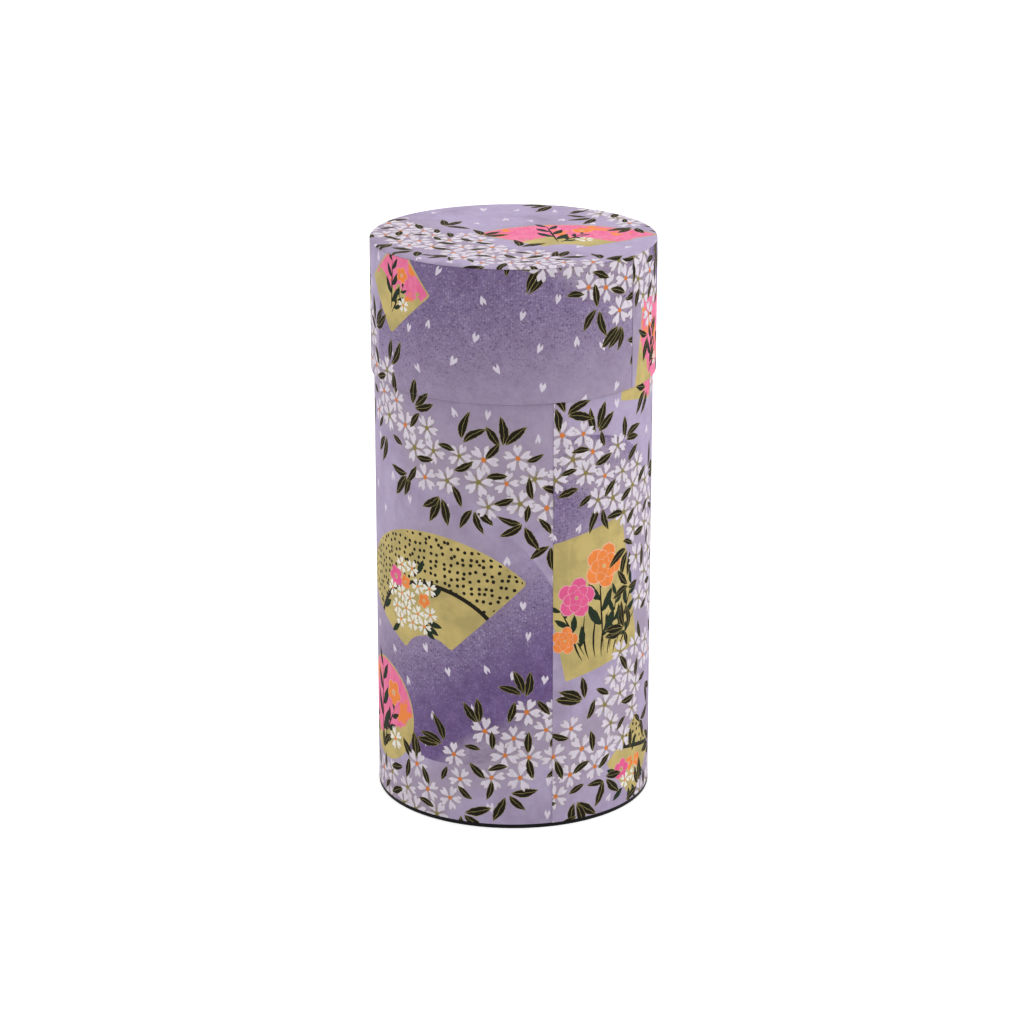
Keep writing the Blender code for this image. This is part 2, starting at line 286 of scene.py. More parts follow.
def lapped(outline, marks, sizes, radius, start):
    """Paper spun round the tin, and doubled in thickness over its lap, which ends in a ramp."""
    lap, ramp = sizes.lap_width / radius, sizes.lap_ramp / radius
    turns = full_circle([(LAP_EDGE / radius, 1), (lap, LAP_STEPS), (ramp, RAMP_STEPS)], PAPER_STEPS)
    bm = spun(outline, True, start, turns, marks)
    lift(bm, radius, sizes.paper, start, sizes.lap_width)
    return bm


def placed(name, bm, material, body, node, corner=SHARP_CORNER):
    """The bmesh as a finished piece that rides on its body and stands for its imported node."""
    mesh = bpy.data.meshes.new(name)
    bm.to_mesh(mesh)
    bm.free()
    mesh.shade_smooth()
    mesh.set_sharp_from_angle(angle=corner)
    mesh.materials.append(material)
    piece = bpy.data.objects.new(name, mesh)
    bpy.context.scene.collection.objects.link(piece)
    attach(piece, body)
    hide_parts(node)
    return piece


class Value:
    """What a node puts out, with which sums are written as on a number.

    A comparison gives 0 or 1, | gives the greater of two values, and & gives the lesser.
    """

    # The Mix node's two inputs and its output, for each kind of value
    mix_sockets = {"FLOAT": (2, 3, 0), "VECTOR": (4, 5, 1), "RGBA": (6, 7, 2)}

    def __init__(self, nodes, socket):
        self.nodes = nodes
        self.socket = socket

    def calc(self, operation, *others, output=0):
        """The output of a Math node, or of a Vector Math node where this is a vector or a colour."""
        if self.socket.type == "VALUE":
            return self.nodes.value("ShaderNodeMath", self, *others, operation=operation)
        others = [(other,) * 3 if isinstance(other, (int, float)) else other for other in others]
        return self.nodes.value("ShaderNodeVectorMath", self, *others, output=output, operation=operation)

    __add__ = partialmethod(calc, "ADD")
    __sub__ = partialmethod(calc, "SUBTRACT")
    __mul__ = partialmethod(calc, "MULTIPLY")
    __truediv__ = partialmethod(calc, "DIVIDE")
    __lt__ = partialmethod(calc, "LESS_THAN")
    __gt__ = partialmethod(calc, "GREATER_THAN")
    __and__ = partialmethod(calc, "MINIMUM")
    __or__ = partialmethod(calc, "MAXIMUM")
    __abs__ = partialmethod(calc, "ABSOLUTE")
    length = partialmethod(calc, "LENGTH", output=1)

    def __rsub__(self, other):
        return self.calc("MULTIPLY_ADD", -1.0, other)

    def near(self, other, slack=0.5):
        """1 where the value is within the slack of another."""
        return self.calc("COMPARE", other, slack)

    def ramp(self, low, high, start=0.0, end=1.0, kind="SMOOTHSTEP"):
        """The value mapped from one range to another, and held at its ends."""
        return self.nodes.value(
            "ShaderNodeMapRange", self, low, high, start, end, interpolation_type=kind
        )

    def mix(self, a, b, kind="RGBA"):
        """From a, where this value is 0, to b, where it is 1: colours, numbers or vectors."""
        first, second, output = self.mix_sockets[kind]
        node = self.nodes.add("ShaderNodeMix", self, data_type=kind)
        self.nodes.put(node.inputs[first], a)
        self.nodes.put(node.inputs[second], b)
        return Value(self.nodes, node.outputs[output])

    def parts(self):
        """The three parts of a vector."""
        return list(self.nodes.outputs("ShaderNodeSeparateXYZ", self).values())

    def table(self, colours):
        """The colour whose place in the list is this value's whole number."""
        ramp = self.nodes.add("ShaderNodeValToRGB", self / INK_STEPS)
        ramp.color_ramp.interpolation = "CONSTANT"
        stops = ramp.color_ramp.elements
        while len(stops) < len(colours):
            stops.new(1.0)
        for i, colour in enumerate(colours):
            stops[i].position = max(0.0, (i - 0.5) / INK_STEPS)
            stops[i].color = colour
        return Value(self.nodes, ramp.outputs[0])


class Nodes:
    """Adds nodes to one tree, sets or links their inputs, and lays them out in rows."""

    row_length = 14
    spacing = (180, -200)

    def __init__(self, tree):
        self.tree = tree

    def add(self, kind, *values, inputs=None, **settings):
        """A node with its settings, its first inputs in order, and others by name."""
        node = self.tree.nodes.new(kind)
        row, column = divmod(len(self.tree.nodes), self.row_length)
        node.location = (self.spacing[0] * column, self.spacing[1] * row)
        for name, value in settings.items():
            setattr(node, name, value)
        for socket, value in zip(node.inputs, values):
            self.put(socket, value)
        for name, value in (inputs or {}).items():
            self.put(node.inputs[name], value)
        return node

    def put(self, socket, value):
        """Links a value to the socket, or sets the socket's own number or colour."""
        if isinstance(value, Value):
            self.tree.links.new(value.socket, socket)
        elif value is not None:
            socket.default_value = value

    def value(self, kind, *values, output=0, **settings):
        """One output of a new node."""
        return Value(self, self.add(kind, *values, **settings).outputs[output])

    def outputs(self, kind, *values, **settings):
        """All the outputs of a new node, by name."""
        node = self.add(kind, *values, **settings)
        return {socket.name: Value(self, socket) for socket in node.outputs}

    def attribute(self, name):
        """The vector of a mesh attribute."""
        return self.value("ShaderNodeAttribute", output="Vector", attribute_name=name)

    def vector(self, *parts):
        """A vector of three parts."""
        return self.value("ShaderNodeCombineXYZ", *parts)

    def noise(self, vector, scale, detail, roughness, output="Fac"):
        """A Noise texture's output, its scale in steps for each unit of the vector."""
        inputs = {"Vector": vector, "Scale": scale, "Detail": detail, "Roughness": roughness}
        return self.value("ShaderNodeTexNoise", inputs=inputs, output=output)

    def cells(self, vector, spacing, randomness=1.0):
        """The distance to the nearest of many scattered points, and a colour that is that point's own."""
        inputs = {"Vector": vector, "Scale": 1 / spacing, "Randomness": randomness}
        made = self.outputs("ShaderNodeTexVoronoi", inputs=inputs, voronoi_dimensions="2D")
        return made["Distance"], made["Color"]


def node_group(name, inputs, outputs):
    """A new shader node group with those sockets: its helper, its inputs by name and its output node."""
    tree = bpy.data.node_groups.new(name, "ShaderNodeTree")
    for label, kind, value in inputs:
        socket = tree.interface.new_socket(label, in_out="INPUT", socket_type=kind)
        if value is not None:
            socket.default_value = value
    for label, kind in outputs:
        tree.interface.new_socket(label, in_out="OUTPUT", socket_type=kind)
    nodes = Nodes(tree)
    return nodes, nodes.outputs("NodeGroupInput"), nodes.add("NodeGroupOutput")


def motif_group():
    """The shape of one printed motif: how deep a point lies in it, and where on it."""
    name = "printed motif"
    if name in bpy.data.node_groups:
        return bpy.data.node_groups[name]
    inputs = [(label, "NodeSocketVector", None) for label in ("Motif", "Waver", "Below")]
    nodes, given, out = node_group(name, inputs, [("Place", "NodeSocketVector")])
    kind = given["Motif"].parts()[2]
    spot = (given["Motif"] + given["Waver"]) * FLAT
    x, y, _ = spot.parts()
    reach = spot.length()
    turn = y.calc("ARCTAN2", x)
    is_flower = kind < LAST_FLOWER
    is_leaf = kind > LAST_PETAL
    turn = is_flower.mix(abs(turn), turn.calc("PINGPONG", FOLD_HALF), "FLOAT")
    along = reach * turn.calc("COSINE")
    across = reach * turn.calc("SINE")

    # The petal: two bowed sides and a notched end
    off_foot = along - PETAL_FOOT
    side = off_foot * (off_foot * -PETAL_BOW + PETAL_SLOPE) - across
    off_lobe = across - LOBE
    notch = off_lobe * (kind.near(PETAL) * -LOOSE_NOTCH - NOTCH_SLOPE)
    notch = notch.calc("SMOOTH_MAX", off_lobe * SHOULDER_SLOPE, LOBE_SOFTNESS)
    petal = side.calc("SMOOTH_MIN", PETAL_REACH - along - notch, PETAL_SOFTNESS)

    # The round petal: a circle on the petal's middle line, wide enough to meet the next one
    bowl = BOWL_RADIUS - nodes.vector(along - BOWL_CENTRE, across, 0.0).length()
    petal = kind.near(*ROUND_FLOWERS).mix(petal, bowl, "FLOAT")

    # The leaf: two arcs that meet at its ends
    bow = along / LEAF_HALF_LENGTH - 1.0
    leaf = bow * bow * -LEAF_HALF_WIDTH + LEAF_HALF_WIDTH - across
    depth = is_leaf.mix(petal, leaf, "FLOAT")

    # The centre, and the lines between the petals
    centre = is_flower * CENTRE_RADIUS - reach
    line = along * -math.sin(FOLD_HALF) + across * math.cos(FOLD_HALF) + LINE_HALF
    line_end = kind.near(OLIVE_CENTRED) * LINE_REACH - reach
    is_here = ((depth | centre | (line & line_end)) > 0.0) * (kind > NO_MOTIF)
    place = nodes.vector(depth, is_leaf.mix(reach, across, "FLOAT"), kind)
    nodes.put(out.inputs["Place"], is_here.mix(given["Below"], place, "VECTOR"))
    return nodes.tree


# Grain of metal, lacquer and plastic: detail and roughness of two noises, and the broad one's scale
FINE_GRAIN = (3.0, 0.6)
BROAD_GRAIN = (2.0, 0.5)
BROAD_SCALE = 0.06
FINE_SHARE = 0.4
GRAIN_RANGE = (0.3, 0.7)


def grain_group():
    """Fine unevenness for metal, lacquer and plastic: a roughness and a height."""
    name = "fine grain"
    if name in bpy.data.node_groups:
        return bpy.data.node_groups[name]
    number = "NodeSocketFloat"
    inputs = [("Vector", "NodeSocketVector", None), ("Scale", number, 1000.0)]
    inputs += [("Smoothest", number, 0.2), ("Roughest", number, 0.4)]
    nodes, given, out = node_group(name, inputs, [("Roughness", number), ("Height", number)])
    fine = nodes.noise(given["Vector"], given["Scale"], *FINE_GRAIN)
    broad = nodes.noise(given["Vector"], given["Scale"] * BROAD_SCALE, *BROAD_GRAIN)
    both = fine * FINE_SHARE + broad * (1 - FINE_SHARE)
    rough = both.ramp(*GRAIN_RANGE, given["Smoothest"], given["Roughest"], "LINEAR")
    nodes.put(out.inputs["Roughness"], rough)
    nodes.put(out.inputs["Height"], fine)
    return nodes.tree


def new_material(name):
    """An empty node material, its helper and its Principled shader."""
    material = bpy.data.materials.new(name)
    material.use_nodes = True
    return material, Nodes(material.node_tree), material.node_tree.nodes["Principled BSDF"]


def bumped(nodes, shader, height, distance):
    """Feeds a height to the shader's normal."""
    bump = nodes.value("ShaderNodeBump", inputs={"Height": height, "Distance": distance})
    nodes.put(shader.inputs["Normal"], bump)


# Noises over the flat sheet: steps for each millimetre, detail and roughness
MOTTLE = (0.05, 3.0, 0.55)
GRAIN = (1.5, 1.5, 0.6)
BLOTS = (1.6, 2.0, 0.6)
WASH = (0.32, 3.0, 0.7)
TONE = (0.12, 3.0, 0.6)
STROKES = (0.5, 3.0, 0.7)
SWAY = (1.0, 2.0, 0.5)
WAVER = (0.75, 2.0, 0.6)
FIBRES = (1.4, 4.0, 0.7)
TUFTS = (3.2, 2.0, 0.6)
RIPPLES = (0.35, 2.0, 0.5)

# How the noises are drawn out, along u, v and the third part
FLAT = (1, 1, 0)
STROKE_STRETCH = (1.0, 0.35, 1.0)
FIBRE_STRETCH = (0.5, 1.6, 1.0)
RIPPLE_STRETCH = (1.0, 0.06, 1.0)

# The ground: ranges from where to where a change takes place, some with what it goes from and to
PALE_GROUND = (0.3, 0.54)
CLOUD_GREY = (0.0, 9.0, 0.0, 0.65)
CLOUD_EDGE = (-0.12, 0.12)
DRIFT_GREY = 0.85
SPECK_SPACING = 0.75
SPECK_VARIETY = 0.3
SPECK_SIZE = (0.5, 0.25)
SPECKS_RISE = (0.1, 0.6, 0.06, 0.95)
SPECKS_FALL = (0.7, 1.0, 1.0, 0.35)
DARK_GRAIN = (0.5, 0.66, 0.0, 0.35)
DARK_SPECK = 0.8
DARK_BELOW = 0.3
PALE_GRAIN = (0.47, 0.31, 0.0, 0.3)
PALE_ABOVE = 0.58
WASH_PLAIN = 0.3
WASH_IN_CLOUDS = 0.65
WASH_HUE = 0.12


def ground_colour(nodes, flat, mottle, inks):
    """The ground, from lilac to grey lilac, with its deep violet clouds, specks and wash."""
    edge, depth, drift = nodes.attribute("ground").parts()
    ground = mottle.ramp(*PALE_GROUND).mix(inks.lilac, inks.pale_lilac)
    ground = edge.ramp(*CLOUD_GREY).mix(ground, inks.grey_lilac)
    in_cloud = edge.ramp(*CLOUD_EDGE) * depth
    ground = in_cloud.mix(ground, inks.violet)
    ground = (drift * DRIFT_GREY).mix(ground, inks.grey_lilac)

    # Dark and pale grains and specks, most of all where a cloud is half deep
    grain = nodes.noise(flat, *GRAIN)
    blots = nodes.noise(flat, *BLOTS, "Color") * SPECK_SPACING
    distance, own = nodes.cells(flat + blots, SPECK_SPACING)
    which, small, _ = own.parts()
    is_speck = (small * SPECK_VARIETY + distance).ramp(*SPECK_SIZE)
    speckle = in_cloud.ramp(*SPECKS_RISE) * in_cloud.ramp(*SPECKS_FALL)
    dark = grain.ramp(*DARK_GRAIN) | is_speck * (which < DARK_BELOW) * DARK_SPECK
    pale = grain.ramp(*PALE_GRAIN) | is_speck * (which > PALE_ABOVE)
    ground = (dark * speckle).mix(ground, inks.deep_violet)
    ground = (pale * speckle).mix(ground, inks.lilac)

    # The wash: uneven strength, most of all in the clouds, and a little unevenness of hue
    wash = nodes.noise(flat, *WASH, "Color") - 0.5
    strength = (in_cloud * WASH_IN_CLOUDS + WASH_PLAIN) * wash.parts()[1]
    return ground * (wash * WASH_HUE + 1.0 + strength)


# The patches: ranges of the noises, and the dots' sway and randomness
PALE_GOLD = (0.35, 0.65)
PALE_PINK = (0.2, 0.9)
ORANGE_TONE = (0.55, 0.63)
DOT_SWAY = 0.3
DOT_RANDOMNESS = 0.6


def patch_colour(nodes, flat, strokes, ground, inks):
    """The colour with the patches on the ground, in gold, dots and pink, and where they lie."""
    edge, division, fill = nodes.attribute("patch").parts()
    tone = nodes.noise(flat, *TONE)
    patch = tone.ramp(*PALE_GOLD).mix(inks.gold, inks.pale_gold)
    pink = strokes.ramp(*PALE_PINK).mix(inks.pink, inks.pale_pink)
    pink = tone.ramp(*ORANGE_TONE).mix(pink, inks.orange)
    waved = (tone - 0.5) * PATCH_WAVE + division
    is_pink = fill.near(PINK_AND_GOLD) * (waved > 0.0) * (edge > PATCH_RIM)
    patch = is_pink.mix(patch, pink)
    sway = nodes.noise(flat, *SWAY, "Color") * DOT_SWAY
    distance, _ = nodes.cells(flat + sway, DOT_SPACING, DOT_RANDOMNESS)
    is_dot = (distance < DOT_RADIUS / DOT_SPACING) * (edge > DOT_RADIUS) * (division > 0.0)
    is_black = (is_dot | (abs(division) < PATCH_LINE)) * fill.near(DOTTED)
    patch = is_black.mix(patch, inks.leaf)
    on_patch = edge > 0.0
    return on_patch.mix(ground, patch), on_patch


# The motifs: how far their outlines waver, how the ink varies, and how strong the thin rims are
WAVER_REACH = (0.6, 0.6, 0)
INK_STROKES = (0.3, 0.7, 0.9, 1.06)
BOWL_RIM_INK = 0.4
PETAL_EDGE_INK = 0.75


def motif_colour(nodes, flat, strokes, below, inks):
    """The colour with the motifs on what lies below, and each place's kind of motif."""
    waver = (nodes.noise(flat, *WAVER, "Color") - 0.5) * WAVER_REACH
    place = None
    for layer in reversed(MOTIF_LAYERS):
        inputs = {"Motif": nodes.attribute(layer), "Waver": waver, "Below": place}
        place = nodes.value("ShaderNodeGroup", node_tree=motif_group(), inputs=inputs)
    depth, sideways, kind = place.parts()
    white, black, none = inks.blossom, inks.leaf, (0.0, 0.0, 0.0, 1.0)
    fills = (none, white, white, inks.cream, inks.pink, inks.orange, white, black, inks.green, black)
    marks = (none, inks.centre, inks.olive, inks.orange, inks.gold, inks.pale_gold, white, inks.olive)
    marks += (black, black)
    ink = kind.table(fills) * strokes.ramp(*INK_STROKES)
    is_leaf = kind > LAST_PETAL
    at_rim = depth < kind.near(*ROUND_FLOWERS) * BOWL_RIM
    ink = (at_rim * BOWL_RIM_INK).mix(ink, inks.cream)
    at_rim = depth < (kind < LAST_WHITE) * PETAL_EDGE
    ink = (at_rim * PETAL_EDGE_INK).mix(ink, inks.olive)
    at_middle = sideways < is_leaf * (LEAF_RIB - CENTRE_RADIUS) + CENTRE_RADIUS
    at_edge = depth < is_leaf * LEAF_OUTLINE
    ink = (at_middle | at_edge).mix(ink, kind.table(marks))
    return (kind > NO_MOTIF).mix(below, ink), kind


# The paper: the painted highlight on the lid's folded lower edge, the heights of its unevenness, and its
# gloss
HIGHLIGHT_SIDE = (1.6, 1.9)
HIGHLIGHT_MOTTLE = (0.35, 0.6, 0.1, 0.6)
FIBRE_HEIGHT = 0.7
TUFT_HEIGHT = 0.3
RIPPLE_HEIGHT = 1.4
PAPER_BUMP = 0.05 * MM
PAPER_ROUGHNESS = (0.3, 0.7, 0.72, 0.86)
GOLD_GLOSS = 0.18
PAPER_SPECULAR = 0.12


def printed_paper():
    """Handmade paper with the print on it: ground, patches and motifs."""
    name = "printed_paper_print"
    if name in bpy.data.materials:
        return bpy.data.materials[name]
    inks = bpy.context.scene.tea_tin_inks
    material, nodes, shader = new_material(name)
    whole = nodes.attribute("sheet")
    side = whole.parts()[2]
    flat = whole * FLAT
    mottle = nodes.noise(flat, *MOTTLE)
    strokes = nodes.noise(flat * STROKE_STRETCH, *STROKES)
    colour = ground_colour(nodes, flat, mottle, inks)
    colour, on_patch = patch_colour(nodes, flat, strokes, colour, inks)
    colour, kind = motif_colour(nodes, flat, strokes, colour, inks)
    # Painted highlight: on the fold under the lid's mouth, where the side mark is 2, the colour is lightened
    # towards blossom white and broken up by the mottle
    lightened = side.ramp(*HIGHLIGHT_SIDE) * mottle.ramp(*HIGHLIGHT_MOTTLE)
    colour = lightened.mix(colour, inks.blossom)
    nodes.put(shader.inputs["Base Color"], (side & 1.0).mix(inks.bare_paper, colour))
    fibres = nodes.noise(whole * FIBRE_STRETCH, *FIBRES)
    rough = fibres.ramp(*PAPER_ROUGHNESS) - on_patch * (kind < NO_MOTIF) * GOLD_GLOSS
    nodes.put(shader.inputs["Roughness"], rough)
    shader.inputs["Specular IOR Level"].default_value = PAPER_SPECULAR
    height = fibres * FIBRE_HEIGHT + nodes.noise(flat, *TUFTS) * TUFT_HEIGHT
    height = nodes.noise(flat * RIPPLE_STRETCH, *RIPPLES) * RIPPLE_HEIGHT + height
    bumped(nodes, shader, height, PAPER_BUMP)
    return material


# The other finishes: noises in steps for each metre, ranges, and depths of grain
STAIN = (60.0, 3.0, 0.6)
STAIN_RANGE = (0.4, 0.7)
STAIN_SHARE = 0.82
METAL_GRAIN = 0.004 * MM
METALLIC = 0.85
RUBBING = (900.0, 4.0, 0.7)
RUBBING_RANGE = (0.6, 0.78)
DARK_GRAIN_DEPTH = 0.006 * MM


def grained(nodes, shader, place, scale, smoothest, roughest, depth):
    """Gives the shader the roughness and the height of the fine grain."""
    inputs = {"Vector": place, "Scale": scale, "Smoothest": smoothest, "Roughest": roughest}
    grain = nodes.outputs("ShaderNodeGroup", node_tree=grain_group(), inputs=inputs)
    nodes.put(shader.inputs["Roughness"], grain["Roughness"])
    bumped(nodes, shader, grain["Height"], depth)


def metal(name, colour, scale, smoothest, roughest, stretch):
    """Rolled metal with faint stains, and fine lines along its stretch."""
    if name in bpy.data.materials:
        return bpy.data.materials[name]
    material, nodes, shader = new_material(name)
    place = nodes.value("ShaderNodeTexCoord", output="Object")
    stain = nodes.noise(place, *STAIN).ramp(*STAIN_RANGE)
    darker = [part * STAIN_SHARE for part in colour]
    nodes.put(shader.inputs["Base Color"], stain.mix((*colour, 1.0), (*darker, 1.0)))
    grained(nodes, shader, place * stretch, scale, smoothest, roughest, METAL_GRAIN)
    shader.inputs["Metallic"].default_value = METALLIC
    return material


def dark_finish(name, colour, worn, scale, smoothest, roughest, specular):
    """Black lacquer or plastic with faint rubbing."""
    material, nodes, shader = new_material(name)
    place = nodes.value("ShaderNodeTexCoord", output="Object")
    lightened = nodes.noise(place, *RUBBING).ramp(*RUBBING_RANGE)
    nodes.put(shader.inputs["Base Color"], lightened.mix((*colour, 1.0), (*worn, 1.0)))
    grained(nodes, shader, place, scale, smoothest, roughest, DARK_GRAIN_DEPTH)
    shader.inputs["Specular IOR Level"].default_value = specular
    return material


def toward(turn):
    """A step of one millimetre that way on the flat sheet."""
    return np.array((math.cos(turn), math.sin(turn)))


def turned_back(points, u, v, turn):
    """How far along and across a patch or a motif, which is turned that way, each point lies."""
    away = points - (u, v)
    cos, sin = math.cos(turn), math.sin(turn)
    return away[..., 0] * cos + away[..., 1] * sin, away[..., 1] * cos - away[..., 0] * sin


class Print:
    """The print's layout on the flat sheet, in millimetres: drifts, clouds, patches and motifs."""

    # Far outside any form, and the rows of a grid, as a share of its spacing
    far_out = 99.0
    row_share = 0.87

    # Uneven edges of the drifts and the clouds, and the forms of the patches
    drift_wave = 1.8
    drift_waves = ((0.23, 1.3), (0.19, 0.4))
    drift_inset = 0.6
    cloud_wave = 1.5
    cloud_lobes = 3
    card_slant = (0.8, 0.6)
    round_sag = 0.02
    fan_spread = math.radians(54)

    # Blossoms: which places in the drifts they take, and where their centres are orange
    blossom_jitter_share = 0.17
    blossom_inset = 0.4
    patch_inset = 1.5
    over_patch_share = 0.35
    kept_share = 0.97
    region_waves = ((0.045, 0.8), (0.06, 0.0))
    region_mix = 0.9
    blossom_scale = (1.0, 1.22)

    # Leaves in the gaps between blossoms, and leaves round the drifts' edges
    gap_grid = (2.4, 0.8)
    gap_reach = 3.4
    gap_inset = 0.5
    gap_spacing = 5.8
    gap_scale = (0.7, 1.0)
    gap_bend = 0.05
    edge_grid = (3.0, 1.0)
    edge_range = (-1.2, 0.8)
    edge_spacing = 9.5
    edge_probe = 0.5
    edge_numbers = (2, 3, 3)
    edge_fan = math.radians(42)
    edge_turn = 0.2
    edge_foot = (0.5, 1.6)
    edge_scale = (0.9, 1.2)
    edge_bend = 0.07

    # Loose petals on the open ground
    petal_grid = (3.0, 1.2)
    petal_off_drift = 3.2
    petal_off_patch = 2.0
    petal_spacing = 9.0
    rising_share = 0.6
    petal_turn = 0.6
    petal_scale = (0.8, 0.95)
    petal_narrow = (0.95, 1.4)

    # Flowered patches, in shares of a patch's size: flowers, sprays with their lean in degrees, and grass
    bloom_shares = (
        (ORANGE, 0.2, 0.65, 0.13),
        (PINK, -0.45, 0.1, 0.115),
        (ORANGE, -0.7, -0.75, 0.08),
    )
    ring_shares = ((0.4, 0.0), (0.7, FOLD_HALF), (1.0, 0.0))
    spray_shares = ((0.2, 94, 1.7), (-0.25, 118, 1.2), (0.5, 66, 1.4), (0.35, 80, 1.2))
    spray_foot_share = -1.15
    blade_shares = (0.15, -0.3, -1.25, 0.14)
    blade_lean = (124, -9)
    blade_narrow = 7.0
    blade_bend = 0.05
    blade_number = 7

    # Dotted patches: a cluster of small flowers, with leaves round it
    cluster_shares = (-0.3, -0.38)
    cluster_grid = (4.6, 0.6)
    cluster_radius_share = 0.65
    cluster_kinds = {CREAM: (0.74, 0.7), PINK: (0.12, 0.9), ORANGE: (0.14, 0.6)}
    leaf_ring_share = 0.6
    leaf_ring_turn = 0.5
    leaf_ring_scale = 0.75
    leaf_ring_number = 7

    # Pink and gold patches: a foot, two flowers above it and two sprays out of it
    foot_shares = (-0.2, -0.85)
    flower_shares = ((ORANGE, 0.55, 1.25, 0.07), (CREAM, 0.6, 0.35, 0.065))
    foot_sprays = ((80, 100, 1.7), (50, 65, 1.1))

    # A spray's leaves, in shares of its length
    spray_leaves = 6
    leaf_start_share = 0.2
    leaf_step_share = 0.15
    leaf_scale_shares = (0.36, -0.025)
    leaf_side = 0.8
    leaf_bend = 0.04

    def __init__(self, settings):
        self.random = np.random.default_rng(settings.seed)
        self.motifs = []
        blossoms = self.blossoms(settings.blossom_spacing)
        self.add_gap_leaves(blossoms)
        self.add_blossoms(blossoms)
        self.add_edge_leaves()
        for patch in PATCHES:
            self.dress(patch)
        self.add_loose_petals()

    def drift_depth(self, points):
        """How far inside a blossom drift each point lies, negative outside."""
        best = np.full(len(points), -self.far_out)
        for path in DRIFTS:
            for start, end in zip(path, path[1:]):
                start, end = np.array(start, float), np.array(end, float)
                line = end[:2] - start[:2]
                share = np.clip((points - start[:2]) @ line / (line @ line), 0, 1)
                nearest = start[:2] + share[:, None] * line
                half = start[2] + share * (end[2] - start[2])
                best = np.maximum(best, half - np.hypot(*(points - nearest).T))
        waves = [np.sin(rate * part + shift) for part, (rate, shift) in zip(points.T, self.drift_waves)]
        return best + self.drift_wave * waves[0] * waves[1] - self.drift_inset

    def cloud(self, points):
        """How far inside a violet cloud's edge each point lies, and how deep its violet is there."""
        edge = np.full(len(points), -self.far_out)
        depth = np.zeros(len(points))
        for u, v, radius, way, length, deepest in CLOUDS:
            away = points - (u, v)
            lobes = np.sin(np.arctan2(away[:, 1], away[:, 0]) * self.cloud_lobes + u)
            here = radius + self.cloud_wave * lobes - np.hypot(*away.T)
            share = np.clip(0.5 + away @ toward(math.radians(way)) / length, 0, 1)
            better = here > edge
            edge = np.where(better, here, edge)
            depth = np.where(better, deepest * share * share * (3 - 2 * share), depth)
        return edge, depth

    def patch(self, patch, points):
        """How far inside a patch's edge each point lies, and how far above its division."""
        x, y = turned_back(points, patch.u, patch.v, math.radians(patch.turn))
        reach = np.hypot(x, y)
        if patch.outline == "card":
            inside = np.minimum(patch.first - np.abs(x), patch.second - np.abs(y))
            return inside, x * self.card_slant[0] + y * self.card_slant[1] - patch.divide
        if patch.outline == "round":
            return patch.first - reach, y - patch.divide - self.round_sag * x * x
        sides = x * math.sin(self.fan_spread) - np.abs(y) * math.cos(self.fan_spread)
        inside = np.minimum(np.minimum(patch.second - reach, reach - patch.first), sides)
        return inside, reach - patch.divide

    def patch_depth(self, points):
        """How far inside the nearest patch each point lies."""
        return np.max([self.patch(patch, points)[0] for patch in PATCHES], axis=0)

    def about(self, by):
        """A random number, at most that far from zero."""
        return self.random.uniform(-by, by)

    def any_turn(self):
        """A random direction."""
        return self.random.uniform(0, FULL_TURN)

    def add(self, kind, spot, turn, scale, narrow=1.0, bend=0.0):
        """Notes one motif, under the ones that are noted before it."""
        self.motifs.append(Motif(kind, spot[0], spot[1], turn, scale, narrow, bend))

    def grid(self, spacing, jitter):
        """A jittered grid of points over the whole sheet, with staggered rows."""
        lines = np.arange(SHEET_LOW[1], SHEET_HIGH[1], spacing * self.row_share)
        steps = np.arange(SHEET_LOW[0], SHEET_HIGH[0], spacing)
        points = [(u + (i % 2) * spacing / 2, v) for i, v in enumerate(lines) for u in steps]
        points = np.array(points)
        return points + self.random.uniform(-jitter, jitter, points.shape)

    def thinned(self, points, spacing):
        """Those points in a mixed order, without any that is too near to one already kept."""
        kept = []
        for spot in self.random.permutation(points):
            if all(math.hypot(*(spot - other)) >= spacing for other in kept):
                kept.append(spot)
        return kept

    def blossoms(self, spacing):
        """The blossoms' places, in the drifts and on few of the patches."""
        spots = self.grid(spacing, spacing * self.blossom_jitter_share)
        chance = self.random.random(len(spots))
        off_patch = (self.patch_depth(spots) < self.patch_inset) | (chance < self.over_patch_share)
        inside = self.drift_depth(spots) > self.blossom_inset
        return spots[inside & off_patch & (chance < self.kept_share)]

    def add_gap_leaves(self, blossoms):
        """Single leaves in the gaps between blossoms."""
        gaps = self.grid(*self.gap_grid)
        nearest = np.full(len(gaps), self.far_out)
        for blossom in blossoms:
            nearest = np.minimum(nearest, np.hypot(*(gaps - blossom).T))
        gaps = gaps[(nearest > self.gap_reach) & (self.drift_depth(gaps) > self.gap_inset)]
        for spot in self.thinned(gaps, self.gap_spacing):
            turn = self.any_turn()
            scale = self.random.uniform(*self.gap_scale)
            foot = spot - scale * LEAF_HALF_LENGTH * toward(turn)
            self.add(LEAF, foot, turn, scale, bend=self.about(self.gap_bend))

    def add_blossoms(self, blossoms):
        """The blossoms, with orange centres in some regions and olive ones in others."""
        for spot in blossoms:
            waves = [math.sin(rate * part + shift) for part, (rate, shift) in zip(spot, self.region_waves)]
            region = sum(waves) + self.about(self.region_mix)
            kind = ORANGE_CENTRED if region > 0 else OLIVE_CENTRED
            self.add(kind, spot, self.any_turn(), self.random.uniform(*self.blossom_scale))

